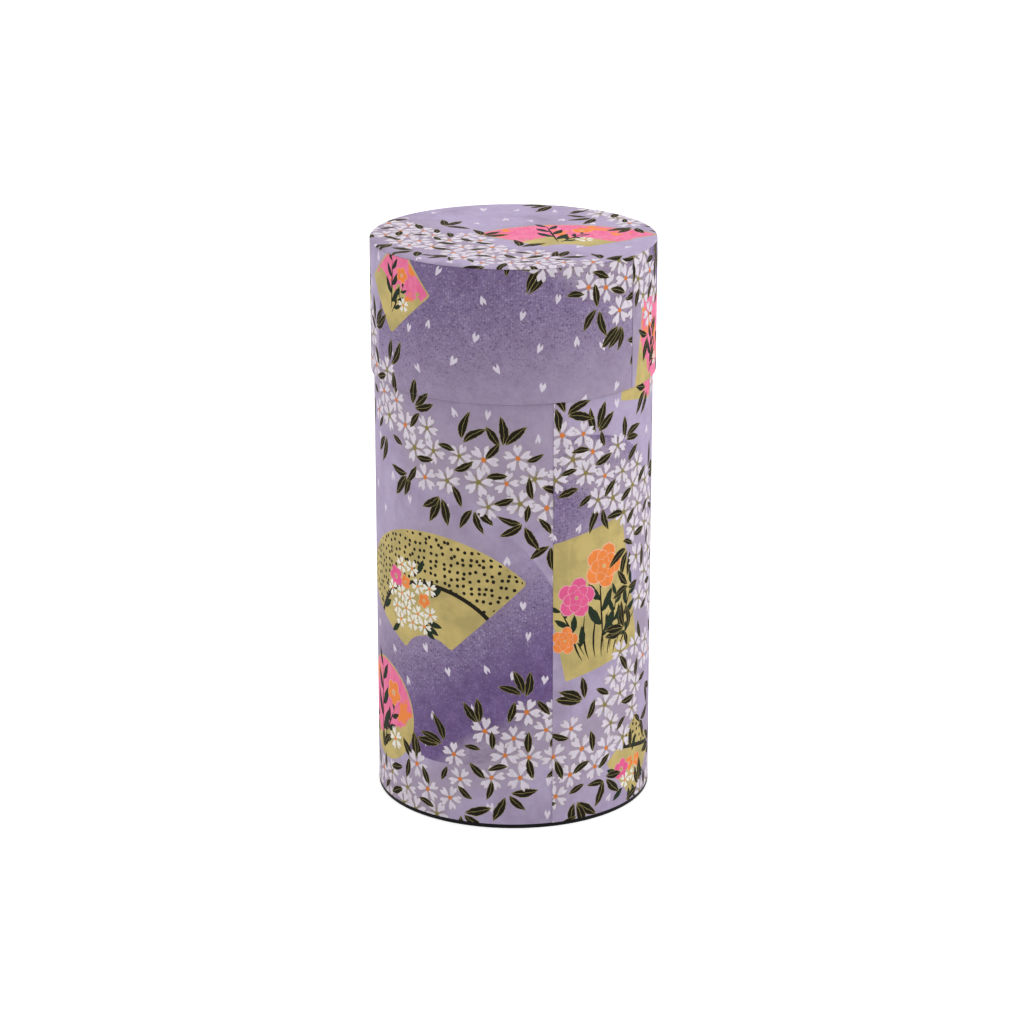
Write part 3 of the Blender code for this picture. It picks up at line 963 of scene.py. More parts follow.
    def add_edge_leaves(self):
        """Leaves in twos and threes round the edges of the drifts."""
        random = self.random
        edges = self.grid(*self.edge_grid)
        depth = self.drift_depth(edges)
        edges = edges[(depth > self.edge_range[0]) & (depth < self.edge_range[1])]
        probes = self.edge_probe * np.array(((1, 0), (-1, 0), (0, 1), (0, -1)))
        for spot in self.thinned(edges, self.edge_spacing):
            right, left, above, below = self.drift_depth(spot + probes)
            outwards = math.atan2(below - above, left - right)
            number = random.choice(self.edge_numbers)
            for i in range(number):
                turn = outwards + self.edge_fan * (i - (number - 1) / 2) + self.about(self.edge_turn)
                foot = spot + random.uniform(*self.edge_foot) * toward(turn)
                scale = random.uniform(*self.edge_scale)
                self.add(LEAF, foot, turn, scale, bend=self.about(self.edge_bend))

    def add_loose_petals(self):
        """Loose petals on the open ground, most of them pointing up."""
        random = self.random
        spots = self.grid(*self.petal_grid)
        off_drift = self.drift_depth(spots) < -self.petal_off_drift
        off_patch = self.patch_depth(spots) < -self.petal_off_patch
        for spot in self.thinned(spots[off_drift & off_patch], self.petal_spacing):
            turn = FULL_TURN / 4 if random.random() < self.rising_share else -FULL_TURN / 4
            turn += self.about(self.petal_turn)
            scale = random.uniform(*self.petal_scale)
            self.add(PETAL, spot, turn, scale, random.uniform(*self.petal_narrow))

    def dress(self, patch):
        """Flowers, sprays and leaves on one patch, by its fill."""
        middle = np.array((patch.u, patch.v), float)
        size = min(patch.first, patch.second or patch.first)
        if patch.outline == "fan":
            middle += (patch.first + patch.second) / 2 * toward(math.radians(patch.turn))
            size = (patch.second - patch.first) / 2
        dressings = {FLOWERED: self.flowered, DOTTED: self.clustered, PINK_AND_GOLD: self.sprayed}
        dressings[patch.fill](middle, size)

    def flowered(self, middle, size):
        """Large flowers over sprays and blades of grass."""
        for kind, aside, above, share in self.bloom_shares:
            start = self.any_turn()
            for ring, shift in self.ring_shares:
                spot = middle + (aside * size, above * size)
                self.add(kind, spot, start + shift, ring * share * size)
        for aside, lean, share in self.spray_shares:
            self.spray(middle + (aside * size, self.spray_foot_share * size), lean, share * size)
        step, start, foot, share = self.blade_shares
        for i in range(self.blade_number):
            spot = middle + ((step * i + start) * size, foot * size)
            turn = math.radians(self.blade_lean[0] + self.blade_lean[1] * i)
            self.add(STROKE, spot, turn, share * size, self.blade_narrow, self.blade_bend)

    def clustered(self, middle, size):
        """A cluster of small flowers with leaves round it."""
        middle = middle + np.array(self.cluster_shares) * size
        spots = self.grid(*self.cluster_grid)
        away = np.hypot(*(spots - middle).T)
        chances = [chance for chance, _ in self.cluster_kinds.values()]
        for spot in spots[away < self.cluster_radius_share * size]:
            kind = self.random.choice(list(self.cluster_kinds), p=chances)
            self.add(kind, spot, self.any_turn(), self.cluster_kinds[kind][1])
        for _ in range(self.leaf_ring_number):
            lean = self.any_turn()
            spot = middle + self.leaf_ring_share * size * toward(lean)
            self.add(GREEN_LEAF, spot, lean + self.about(self.leaf_ring_turn), self.leaf_ring_scale)

    def sprayed(self, middle, size):
        """Two small flowers over two sprays with one foot."""
        foot = middle + np.array(self.foot_shares) * size
        for kind, aside, above, share in self.flower_shares:
            self.add(kind, foot + (aside * size, above * size), self.any_turn(), share * size)
        for low, high, share in self.foot_sprays:
            self.spray(foot, self.random.uniform(low, high), share * size)

    def spray(self, foot, lean, length):
        """A stem with leaves on both sides, leaning by degrees."""
        lean = math.radians(lean)
        scale = length / (2 * LEAF_HALF_LENGTH)
        for i in range(self.spray_leaves):
            spot = foot + (self.leaf_start_share + self.leaf_step_share * i) * length * toward(lean)
            side = self.leaf_side if i % 2 else -self.leaf_side
            leaf = scale * (self.leaf_scale_shares[0] + self.leaf_scale_shares[1] * i)
            self.add(GREEN_LEAF, spot, lean + side, leaf, bend=self.leaf_bend * side)
        self.add(STROKE, foot, lean, scale, scale * LEAF_HALF_WIDTH / STEM_HALF)


def motif_place(motif, points):
    """The points as they lie on one motif at its plain size."""
    x, y = turned_back(points, motif.u, motif.v, motif.turn)
    x, y = x / motif.scale, y / motif.scale
    return x, (y + motif.bend * x * x) * motif.narrow


def motif_depth(kind, x, y):
    """How far inside a motif of that kind each point lies, as its node group works it out."""
    reach = np.hypot(x, y)
    turn = np.abs(np.arctan2(y, x))
    if kind < LAST_FLOWER:
        turn = np.abs((turn + FOLD_HALF) % (2 * FOLD_HALF) - FOLD_HALF)
    along, across = reach * np.cos(turn), reach * np.sin(turn)
    if kind > LAST_PETAL:
        bow = along / LEAF_HALF_LENGTH - 1
        return LEAF_HALF_WIDTH * (1 - bow * bow) - across
    off_foot, off_lobe = along - PETAL_FOOT, across - LOBE
    side = off_foot * (PETAL_SLOPE - PETAL_BOW * off_foot) - across
    notch = -NOTCH_SLOPE - LOOSE_NOTCH * (kind == PETAL)
    end = PETAL_REACH - along - np.maximum(off_lobe * notch, off_lobe * SHOULDER_SLOPE)
    depth = np.minimum(side, end)
    if abs(kind - ROUND_FLOWERS[0]) <= ROUND_FLOWERS[1]:
        depth = BOWL_RADIUS - np.hypot(along - BOWL_CENTRE, across)
    if kind < LAST_FLOWER:
        depth = np.maximum(depth, CENTRE_RADIUS - reach)
    if kind == OLIVE_CENTRED:
        line = LINE_HALF - along * math.sin(FOLD_HALF) + across * math.cos(FOLD_HALF)
        depth = np.maximum(depth, np.minimum(line, LINE_REACH - reach))
    return depth


# How the print is written on a mesh: depths and margins in millimetres, and points along a face's side
NO_PATCH = -20.0
PATCH_MARGIN = 3
DRIFT_FADE = 5
MOTIF_MARGIN = 1
CULL_MARGIN = 0.45
PROBE_STEPS = 4


def print_on(mesh, layout, corners, flat, side):
    """Writes the print's attributes on a mesh: flat coordinates, ground, patch and motif layers."""
    count = len(mesh.loops)
    centres = flat[corners].mean(axis=1)
    edge, depth = layout.cloud(flat)
    drift = np.clip(layout.drift_depth(flat) / DRIFT_FADE, 0, 1)
    values = {"sheet": np.column_stack((flat, side)), "ground": np.column_stack((edge, depth, drift))}

    # Each face takes the patch that reaches furthest over it
    reaches = np.array([layout.patch(patch, centres)[0] for patch in PATCHES])
    nearest = reaches.argmax(axis=0)
    values["patch"] = np.tile((NO_PATCH, 0.0, 0.0), (count, 1))
    for i, patch in enumerate(PATCHES):
        loops = np.unique(corners[(nearest == i) & (reaches[i] > -PATCH_MARGIN)])
        if len(loops):
            inside, above = layout.patch(patch, flat[loops])
            values["patch"][loops] = np.column_stack((inside, above, np.full(len(loops), patch.fill)))

    # Each face takes the uppermost motifs that touch it
    layers = [np.zeros((count, 3)) for _ in MOTIF_LAYERS]
    used = np.zeros(len(corners), int)
    hidden = np.zeros(len(corners), bool)
    steps = np.linspace(0, 1, PROBE_STEPS)
    pairs = [(s, t) for s in steps for t in steps]
    weights = np.array([((1 - s) * (1 - t), s * (1 - t), s * t, (1 - s) * t) for s, t in pairs])
    order = np.flatnonzero(side[corners].all(axis=1))
    order = order[centres[order, 0].argsort()]
    along = centres[order, 0]
    for motif in layout.motifs:
        size = PETAL_REACH * 2 * motif.scale + MOTIF_MARGIN
        faces = order[slice(*along.searchsorted((motif.u - size, motif.u + size)))]
        open_faces = (used[faces] < len(layers)) & ~hidden[faces]
        faces = faces[(np.abs(centres[faces, 1] - motif.v) < size) & open_faces]
        if not len(faces):
            continue
        points = np.einsum("pk,fkd->fpd", weights, flat[corners[faces]])
        inside = motif_depth(motif.kind, *motif_place(motif, points)) * motif.scale
        hidden[faces[(inside > CULL_MARGIN).all(axis=1)]] = True
        faces = faces[(inside > -CULL_MARGIN).any(axis=1)]
        x, y = motif_place(motif, flat[corners[faces]])
        place = np.stack((x, y, np.full(x.shape, motif.kind)), axis=-1)
        for i, layer in enumerate(layers):
            here = used[faces] == i
            layer[corners[faces[here]]] = place[here]
        used[faces] += 1
    values.update(zip(MOTIF_LAYERS, layers))
    for name, value in values.items():
        attribute = mesh.attributes.new(name, "FLOAT_VECTOR", "CORNER")
        attribute.data.foreach_set("vector", value.astype(np.float32).ravel())


def got(items, name, width=1, kind=float):
    """One value of every item in a mesh's list."""
    values = np.zeros(len(items) * width, kind)
    items.foreach_get(name, values)
    return values.reshape(-1, width) if width > 1 else values


def corner_values(mesh):
    """Each corner's mark, its turn and its face's turn round the tin, and the four corners of each face.

    A corner is known by its place in the mesh's loops. A triangle gives its last one twice.
    """
    vertex = got(mesh.loops, "vertex_index", kind=int)
    start, size = (got(mesh.polygons, name, kind=int) for name in ("loop_start", "loop_total"))
    along = got(mesh.attributes["along"].data, "value")[vertex]
    points = got(mesh.vertices, "co", 3)[vertex]
    middles = np.repeat(got(mesh.polygons, "center", 3), size, axis=0)
    turn, middle_turn = (np.arctan2(spots[:, 1], spots[:, 0]) for spots in (points, middles))
    corners = start[:, None] + np.minimum(np.arange(4), size[:, None] - 1)
    return along, turn, middle_turn, corners


def on_face(along, corners, inside):
    """Which corners belong to the faces whose marks are all inside the printed side."""
    is_face = np.zeros(len(along), bool)
    is_face[np.unique(corners[inside(along[corners]).all(axis=1)])] = True
    return is_face


def bake_map(mesh, u, v):
    """Writes the piece's own UV map, called OFBake, laid out for its colours."""
    layer = mesh.uv_layers.new(name="OFBake")
    layer.uv.foreach_set("vector", np.stack((u, v), axis=1).astype(np.float32).ravel())


# Shares of the bake maps: a wrap's margin, and where its printed side and its back start and how far
# they reach. Then the half width of the disc's printed side, its shift, and its back's, which shrinks.
MARGIN_SHARE = 0.01
FACE_SHARES = (0.1, 0.88)
BACK_SHARES = (0.02, 0.04)
DISC_SHARE = 0.42
DISC_SHIFT_SHARES = (0.0, 0.02)
DISC_BACK_SHARE = 0.03
DISC_SHRINK_SHARE = 0.1


def wrap_print(piece, start, radius, strips=1, highlight_below=0.0):
    """Prints a wrap. Its sheet starts at the lap, so both its ends are cut there."""
    mesh = piece.data
    along, turn, middle_turn, corners = corner_values(mesh)
    turn, middle_turn = (turn - start) % FULL_TURN, (middle_turn - start) % FULL_TURN
    turn = np.where(turn - middle_turn > math.pi, turn - FULL_TURN, turn)
    turn = np.where(middle_turn - turn > math.pi, turn + FULL_TURN, turn)
    flat = np.column_stack(((turn + (start - FRONT_ANGLE)) * radius / MM, along / MM))
    is_face = on_face(along, corners, lambda marks: marks > 0)
    # Corners on the lower half of the fold under the lid's mouth get the side mark 2, for the painted
    # highlight there
    print_on(mesh, the_print(), corners, flat, is_face * (1 + (along < highlight_below)))
    strip = np.minimum((middle_turn / FULL_TURN * strips).astype(int), strips - 1)
    low, high = along[is_face].min(), along[is_face].max()
    face = FACE_SHARES[0] + FACE_SHARES[1] * (along - low) / (high - low)
    back = BACK_SHARES[0] + BACK_SHARES[1] * (along + high) / high
    across = MARGIN_SHARE + (1 - 2 * MARGIN_SHARE) * (turn / FULL_TURN * strips - strip)
    bake_map(mesh, across, (strip + np.where(is_face, face, back)) / strips)


def disc_print(piece, radius):
    """Prints the lid's disc."""
    mesh = piece.data
    along, turn, _, corners = corner_values(mesh)
    plane = np.column_stack((np.cos(turn), np.sin(turn))) * np.abs(along)[:, None]
    is_face = on_face(along, corners, lambda marks: marks >= 0)
    print_on(mesh, the_print(), corners, plane / MM + DISC_CENTRE, is_face.astype(int))
    share = 0.5 + plane / radius * np.where(is_face, DISC_SHARE, DISC_BACK_SHARE)[:, None]
    share = np.where(is_face[:, None], share + DISC_SHIFT_SHARES, share * DISC_SHRINK_SHARE)
    bake_map(mesh, *share.T)


def length_setting(name, said, default):
    """A length that a user can change."""
    return FloatProperty(name=name, description=said, default=default, unit="LENGTH")


def number_setting(name, said, default):
    """A plain number that a user can change."""
    return FloatProperty(name=name, description=said, default=default)


def ink_setting(name, said, red, green, blue):
    """An ink's colour that a user can change."""
    colour = (red, green, blue, 1.0)
    return FloatVectorProperty(
        name=name, description=said, default=colour, size=4, min=0, max=1, subtype="COLOR"
    )


class TeaTinSizes(bpy.types.PropertyGroup):
    """Sizes that change the tin's pieces."""

    lid_radius: length_setting("Lid radius", "Radius of the papered lid", node_radius("lid_side_paper"))
    lid_shoulder: length_setting("Lid shoulder", "Radius of the lid's rounded shoulder", 1.0 * MM)
    fold_width: length_setting("Fold width", "Width of the side paper's fold under the disc", 4.5 * MM)
    paper: length_setting("Paper", "Thickness of the paper", 0.18 * MM)
    glue: length_setting("Glue gap", "Space between the paper and the metal", 0.1 * MM)
    lap_width: length_setting("Lap width", "Width of the paper's overlap", 4.6 * MM)
    lap_ramp: length_setting("Lap ramp", "Width over which the lap comes down", 0.9 * MM)
    lid_wall: length_setting("Lid wall", "Thickness of the lid's tinplate", 0.22 * MM)
    body_wall: length_setting("Body wall", "Thickness of the body's tinplate", 0.25 * MM)
    base_wall: length_setting("Base wall", "Thickness of the base's sheet", 0.22 * MM)
    lid_fit: length_setting("Lid fit", "Space between the lid and the papered body", 0.35 * MM)
    mouth_curl: length_setting("Mouth curl", "Radius of the curled mouth", 0.575 * MM)
    seam_width: length_setting("Seam width", "Width of the lock seam inside", 4.0 * MM)
    rim_height: length_setting("Rim height", "Height of the base's folded rim", 1.1 * MM)
    knob_radius: length_setting("Knob radius", "Radius of the turned knob", node_radius("inner_lid_knob"))


class TeaTinInks(bpy.types.PropertyGroup):
    """Colours of the print and the settings of its layout."""

    seed: IntProperty(name="Seed", description="Another number scatters the motifs anew", default=11)
    blossom_spacing: number_setting("Blossom spacing", "Distance between blossoms, in millimetres", 7.6)
    lilac: ink_setting("Lilac", "The ground's main colour", 0.335, 0.272, 0.395)
    pale_lilac: ink_setting("Pale lilac", "The ground's lightest places", 0.42, 0.352, 0.51)
    grey_lilac: ink_setting("Grey lilac", "The ground between blossoms", 0.355, 0.288, 0.388)
    violet: ink_setting("Violet", "The clouds", 0.152, 0.096, 0.235)
    deep_violet: ink_setting("Deep violet", "The clouds' darkest grains", 0.085, 0.05, 0.135)
    blossom: ink_setting("Blossom", "The blossoms' petals", 0.67, 0.61, 0.7)
    centre: ink_setting("Centre", "The blossoms' orange centres", 0.62, 0.19, 0.05)
    olive: ink_setting("Olive", "Olive centres and the leaves' lines", 0.24, 0.2, 0.065)
    leaf: ink_setting("Leaf", "The leaves and black lines", 0.014, 0.0115, 0.0065)
    green: ink_setting("Green", "The patches' leaves", 0.018, 0.033, 0.018)
    gold: ink_setting("Gold", "The patches' ground", 0.425, 0.342, 0.132)
    pale_gold: ink_setting("Pale gold", "The patches' lightest places", 0.56, 0.44, 0.165)
    cream: ink_setting("Cream", "The small blossoms on gold", 0.8, 0.76, 0.68)
    pink: ink_setting("Pink", "The pink patches and flowers", 0.74, 0.11, 0.27)
    pale_pink: ink_setting("Pale pink", "The pink patches' lightest places", 0.83, 0.26, 0.4)
    orange: ink_setting("Orange", "The orange flowers", 0.82, 0.238, 0.057)
    bare_paper: ink_setting("Bare paper", "The paper's back and cut edges", 0.66, 0.62, 0.6)


class TeaTinStage(bpy.types.PropertyGroup):
    """The camera, the lamps and the floor."""

    distance: length_setting("Distance", "From the tin's middle to the camera", 0.909)
    elevation: FloatProperty(
        name="Elevation", description="Height of the camera above level",
        default=math.radians(17.71), subtype="ANGLE",
    )
    lens: number_setting("Lens", "Focal length in millimetres", 113.4)
    right_power: number_setting("Right lamp", "Power of the lamp on the right, in watts", 4.6)
    left_power: number_setting("Left lamp", "Power of the lamp on the left, in watts", 3.0)
    top_power: number_setting("Top lamp", "Power of the lamp above, in watts", 1.9)
    ambient: number_setting("Ambient", "Strength of the light from all round", 0.83)


def layer_radii(sizes):
    """The radii of the tin's layers, from the outside in."""
    lid_out = sizes.lid_radius - sizes.paper - sizes.glue
    lid_in = lid_out - sizes.lid_wall
    paper_out = lid_in - sizes.lid_fit
    tube_out = paper_out - sizes.paper - sizes.glue
    return lid_out, lid_in, paper_out, tube_out, tube_out - sizes.body_wall


def papered(name, bm, body, node):
    """The bmesh as a finished piece of printed paper."""
    return placed(name, bm, printed_paper(), body, node)


def the_print():
    """The print's layout, made once for all three papers."""
    if not hasattr(the_print, "layout"):
        the_print.layout = Print(bpy.context.scene.tea_tin_inks)
    return the_print.layout


# The metals: colour, grain in steps for each metre, least and most roughness, and how the grain is drawn out
TINPLATE = ((0.71, 0.705, 0.68), 900.0, 0.2, 0.36, (1, 1, 0.05))
PLATED_STEEL = ((0.55, 0.55, 0.55), 1500.0, 0.24, 0.42, (1, 1, 1))

# The black finishes: colour, rubbed colour, grain, least and most roughness, and specular level
LACQUER = ((0.006, 0.0055, 0.006), (0.03, 0.028, 0.028), 1500.0, 0.42, 0.6, 0.15)
PLASTIC = ((0.014, 0.013, 0.013), (0.03, 0.029, 0.028), 2500.0, 0.16, 0.3, 0.5)


def tinplate():
    """Bright rolled tinplate, with its fine lines running up the tin."""
    return metal("tinplate_rolled", *TINPLATE)


class TEATIN_OT_body_paper(bpy.types.Operator):
    """Makes the body's printed wrap, lapped to the right of the front"""

    bl_idname = "tea_tin.body_paper"
    bl_label = "Body Paper"

    def execute(self, context):
        sizes = context.scene.tea_tin_sizes
        radius = layer_radii(sizes)[2]
        low, high = node_foot("body_paper"), node_top("body_paper")
        face = rows((radius, low), (radius, high))
        back = [(radius - sizes.paper, high), (radius - sizes.paper, low)]
        marks = [point.y for point in face] + [-1.0] * len(back)
        bm = lapped(face + back, marks, sizes, radius, BODY_LAP_ANGLE)
        piece = papered("body_paper_print", bm, "tin_body", "body_paper")
        wrap_print(piece, BODY_LAP_ANGLE, radius)
        return {"FINISHED"}


class TEATIN_OT_lid_side_paper(bpy.types.Operator):
    """Makes the lid's printed side wrap, folded over the shoulder and round the mouth"""

    bl_idname = "tea_tin.lid_side_paper"
    bl_label = "Lid Side Paper"
    strips = 3

    def execute(self, context):
        sizes = context.scene.tea_tin_sizes
        half = sizes.paper / 2
        middle = sizes.lid_radius - half
        top = node_top("lid_side_paper") - half
        low = node_foot("lid_side_paper") + half
        bend = sizes.lid_shoulder - half
        fold = half + 2 * sizes.glue
        path = joined(
            rows((middle - bend - sizes.fold_width, top), (middle - bend, top)),
            arc((middle - bend, top - bend), bend, 90, 0, FOLD_STEPS),
            rows((middle, top - bend), (middle, low + fold)),
            arc((middle - fold, low + fold), fold, 0, -90, FOLD_STEPS),
            [(layer_radii(sizes)[1] + half, low)],
        )
        lengths = lengths_along(path)
        wall = next(i for i, point in enumerate(path) if abs(point.x - middle) < WELD)
        marks = [path[wall].y + lengths[wall] - far for far in lengths] + [-1.0] * len(path)
        bm = lapped(sheet(path, sizes.paper), marks, sizes, sizes.lid_radius, LID_LAP_ANGLE)
        piece = papered("lid_side_print", bm, "outer_lid", "lid_side_paper")
        wrap_print(piece, LID_LAP_ANGLE, sizes.lid_radius, self.strips, low + fold / 2)
        return {"FINISHED"}


class TEATIN_OT_lid_top_paper(bpy.types.Operator):
    """Makes the lid's printed disc, turned over the shoulder at its rim"""

    bl_idname = "tea_tin.lid_top_paper"
    bl_label = "Lid Top Paper"
    turn = 45
    ramp = 1.5 * MM
    gap = 0.3 * MM
    rim_turn = 8
    rim_gap = 0.01 * MM

    def execute(self, context):
        sizes = context.scene.tea_tin_sizes
        half = sizes.paper / 2
        high = node_top("lid_top_paper") - half
        low = node_top("lid_shell") + sizes.glue + half
        edge = (sizes.lid_radius - sizes.lid_shoulder, node_top("lid_side_paper") - sizes.lid_shoulder)
        ramp_end = edge[0] - sizes.fold_width - self.gap
        rim = 90 - self.turn - self.rim_turn
        path = joined(
            rows((0, low), (ramp_end - self.ramp, low)),
            rows((ramp_end, high), (edge[0], high)),
            arc(edge, high - edge[1], 90, 90 - self.turn, FOLD_STEPS),
            arc(edge, high - edge[1] - sizes.glue + self.rim_gap, rim, rim, 1),
        )
        marks = lengths_along(path)
        marks += [-mark - WELD for mark in reversed(marks)]
        turns = ((FULL_TURN, PAPER_STEPS),)
        bm = spun(sheet(path, sizes.paper), False, turns=turns, marks=marks)
        piece = papered("lid_top_print", bm, "outer_lid", "lid_top_paper")
        disc_print(piece, marks[len(path) - 1])
        return {"FINISHED"}


class TEATIN_OT_body_shell(bpy.types.Operator):
    """Makes the tinplate tube with its curled mouth and the lock seam inside"""

    bl_idname = "tea_tin.body_shell"
    bl_label = "Body Shell"
    seam_gap = 3.0 * MM
    seam_ramp = 0.5 * MM
    curl_turn = 300

    def execute(self, context):
        sizes = context.scene.tea_tin_sizes
        tube_out, tube_in = layer_radii(sizes)[3:]
        middle = (tube_out + tube_in) / 2
        curl = sizes.mouth_curl
        curl_height = node_top("body_shell") - curl - sizes.body_wall / 2
        low, high = BASE_RECESS + self.seam_gap, curl_height - curl - self.seam_gap
        bottom, top = low + self.seam_ramp, high - self.seam_ramp
        path = joined(
            [(middle, z) for z in (node_foot("body_shell"), low, bottom, top, high)],
            arc((middle - curl, curl_height), curl, 0, self.curl_turn, CURL_STEPS),
        )
        edge, width = LAP_EDGE / tube_in, sizes.seam_width / tube_in
        turns = full_circle([(edge, 1), (width, SEAM_STEPS), (edge, 1)], ROUND_STEPS)
        bm = spun(sheet(path, sizes.body_wall), True, LOCK_SEAM_ANGLE, turns)
        lift(bm, tube_in, -sizes.body_wall, LOCK_SEAM_ANGLE, sizes.seam_width, bottom, top)
        placed("body_shell_tinplate", bm, tinplate(), "tin_body", "body_shell")
        return {"FINISHED"}


class TEATIN_OT_base(bpy.types.Operator):
    """Makes the black base with its bead and the rim folded up round the tube's foot"""

    bl_idname = "tea_tin.base"
    bl_label = "Base"
    crimp = 0.09 * MM
    foot_width = 0.2 * MM
    corner = 0.8 * MM
    bead_radius = 28.0 * MM
    bead_width = 3.0 * MM
    bead_height = 0.6 * MM

    def execute(self, context):
        sizes = context.scene.tea_tin_sizes
        tube_out, tube_in = layer_radii(sizes)[3:]
        half = sizes.base_wall / 2
        inner = tube_in - self.crimp - half
        outer = tube_out + self.crimp + half
        turn = (outer - inner - self.foot_width) / 2
        panel = BASE_RECESS + half
        bead_low = self.bead_radius - self.bead_width / 2
        bead_high = self.bead_radius + self.bead_width / 2
        rise = self.bead_width / 4
        foot, crest = panel + self.bead_height / 3, panel + self.bead_height
        path = joined(
            [(0, panel), (bead_low, panel), (bead_low + rise / 2, foot), (bead_low + rise, crest)],
            [(bead_high - rise, crest), (bead_high - rise / 2, foot), (bead_high, panel)],
            arc((inner - self.corner, panel - self.corner), self.corner, 90, 0),
            arc((inner + turn, half + turn), turn, 180, 270, FOLD_STEPS),
            arc((outer - turn, half + turn), turn, 270, 360, FOLD_STEPS),
            [(outer, sizes.rim_height)],
        )
        bm = spun(sheet(path, sizes.base_wall), False)
        black = dark_finish("lacquer_black", *LACQUER)
        placed("base_end_lacquer", bm, black, "tin_body", "base_end")
        return {"FINISHED"}


class TEATIN_OT_lid_shell(bpy.types.Operator):
    """Makes the drawn tinplate lid under the paper"""

    bl_idname = "tea_tin.lid_shell"
    bl_label = "Lid Shell"

    def execute(self, context):
        sizes = context.scene.tea_tin_sizes
        half = sizes.lid_wall / 2
        middle = layer_radii(sizes)[0] - half
        top = node_top("lid_shell") - half
        bend = sizes.lid_shoulder - sizes.paper - sizes.glue - half
        path = joined(
            [(0, top)],
            arc((middle - bend, top - bend), bend, 90, 0),
            [(middle, node_foot("lid_shell"))],
        )
        bm = spun(sheet(path, sizes.lid_wall), False)
        placed("lid_shell_tinplate", bm, tinplate(), "outer_lid", "lid_shell")
        return {"FINISHED"}


class TEATIN_OT_inner_lid(bpy.types.Operator):
    """Makes the pressed inner lid that plugs the mouth"""

    bl_idname = "tea_tin.inner_lid"
    bl_label = "Inner Lid"
    wall = 0.25 * MM
    plug_fit = 0.25 * MM
    flange_inset = 0.2 * MM
    corner = 1.2 * MM
    step_radius = 26.0 * MM
    step_width = 2.0 * MM
    step_height = 0.8 * MM

    def execute(self, context):
        sizes = context.scene.tea_tin_sizes
        tube_out = layer_radii(sizes)[3]
        half = self.wall / 2
        plug = tube_out - 2 * sizes.mouth_curl - sizes.body_wall - self.plug_fit
        skirt = plug - half
        floor = node_foot("inner_lid_pan") + half
        flange = node_top("inner_lid_pan") - half
        step = floor + self.step_height
        low, high = self.step_radius - self.step_width / 2, self.step_radius + self.step_width / 2
        path = joined(
            [(RIVET_HOLE, floor), (low, floor), (low + self.step_width / 6, floor + self.step_height / 10)],
            [(high - self.step_width / 6, step - self.step_height / 10), (high, step)],
            arc((skirt - self.corner, step + self.corner), self.corner, 270, 360),
            arc((skirt + self.wall, flange - self.wall), self.wall, 180, 90, FOLD_STEPS),
            [(tube_out - self.flange_inset, flange)],
        )
        bm = spun(sheet(path, self.wall))
        placed("inner_lid_tinplate", bm, tinplate(), "inner_lid", "inner_lid_pan")
        return {"FINISHED"}


class TEATIN_OT_knob(bpy.types.Operator):
    """Makes the turned knob with its waist and crowned head"""

    bl_idname = "tea_tin.knob"
    bl_label = "Knob"
    neck_radius = 3.6 * MM
    foot_radius = 5.0 * MM
    foot_height = 1.2 * MM
    head_height = 3.2 * MM
    crown = 0.7 * MM
    edge = 1.2 * MM
    grip = 3.6 * MM
    waist_turns = (240, 120)
    edge_turns = (-20, 75)
    crown_shares = ((0.75, 0.5), (0.5, 0.25), (0.25, 0.0625), (0.0, 0.0))
    sharp_corner = math.radians(40)

    def execute(self, context):
        radius = context.scene.tea_tin_sizes.knob_radius
        foot, top = node_foot("inner_lid_knob"), node_top("inner_lid_knob")
        head = top - self.head_height
        hole_end = foot + self.grip
        waist = (head - foot - self.foot_height) / 2
        side = top - self.crown - self.edge
        bulge = radius - self.edge
        outline = joined(
            [(0, hole_end), (RIVET_HOLE, hole_end), (RIVET_HOLE, foot), (self.foot_radius, foot)],
            [(self.foot_radius, foot + self.foot_height / 2)],
            arc((self.neck_radius + waist, head - waist), waist, *self.waist_turns),
            [(radius - self.edge / 2, head)],
            arc((bulge, side), self.edge, *self.edge_turns),
            [(bulge * reach, top - self.crown * drop) for reach, drop in self.crown_shares],
        )
        bm = spun(outline, False, turns=((FULL_TURN, SMALL_STEPS),))
        black = dark_finish("knob_black", *PLASTIC)
        placed("knob_turned", bm, black, "inner_lid", "inner_lid_knob", self.sharp_corner)
        return {"FINISHED"}


class TEATIN_OT_rivet(bpy.types.Operator):
    """Makes the knob's rivet and its washer"""

    bl_idname = "tea_tin.rivet"
    bl_label = "Rivet and Washer"
    radius = 1.5 * MM
    head_radius = 3.0 * MM
    head_height = 1.1 * MM
    tip = 0.3 * MM
    washer_edge = 0.08 * MM
    sharp_turn = 1
    turns = ((FULL_TURN, SMALL_STEPS),)

    def execute(self, context):
        steel = metal("rivet_plated", *PLATED_STEEL)
        low, tip = node_foot("knob_rivet"), node_top("knob_rivet")
        seat = low + self.head_height
        dome = (self.head_radius**2 + self.head_height**2) / (2 * self.head_height)
        spread = math.degrees(math.asin(self.head_radius / dome))
        outline = joined(
            [(0, low)],
            arc((0, low + dome), dome, 270, 270 + spread)[1:],
            [(self.radius, seat), (self.radius, tip - self.tip), (self.radius - self.tip, tip), (0, tip)],
        )
        bm = spun(outline, False, turns=self.turns)
        placed("rivet_headed", bm, steel, "inner_lid", "knob_rivet")
        low, high = node_foot("knob_washer"), node_top("knob_washer")
        outer = node_radius("knob_washer")
        outline = [(RIVET_HOLE, low), (outer, low), (outer, high), (RIVET_HOLE, high)]
        bm = spun(outline, turns=self.turns)
        sharp = [edge for edge in bm.edges if edge.calc_face_angle(0) > self.sharp_turn]
        bmesh.ops.bevel(
            bm, geom=sharp, offset=self.washer_edge, affect="EDGES", segments=2, profile=0.5, material=-1
        )
        placed("washer_plain", bm, steel, "inner_lid", "knob_washer")
        return {"FINISHED"}


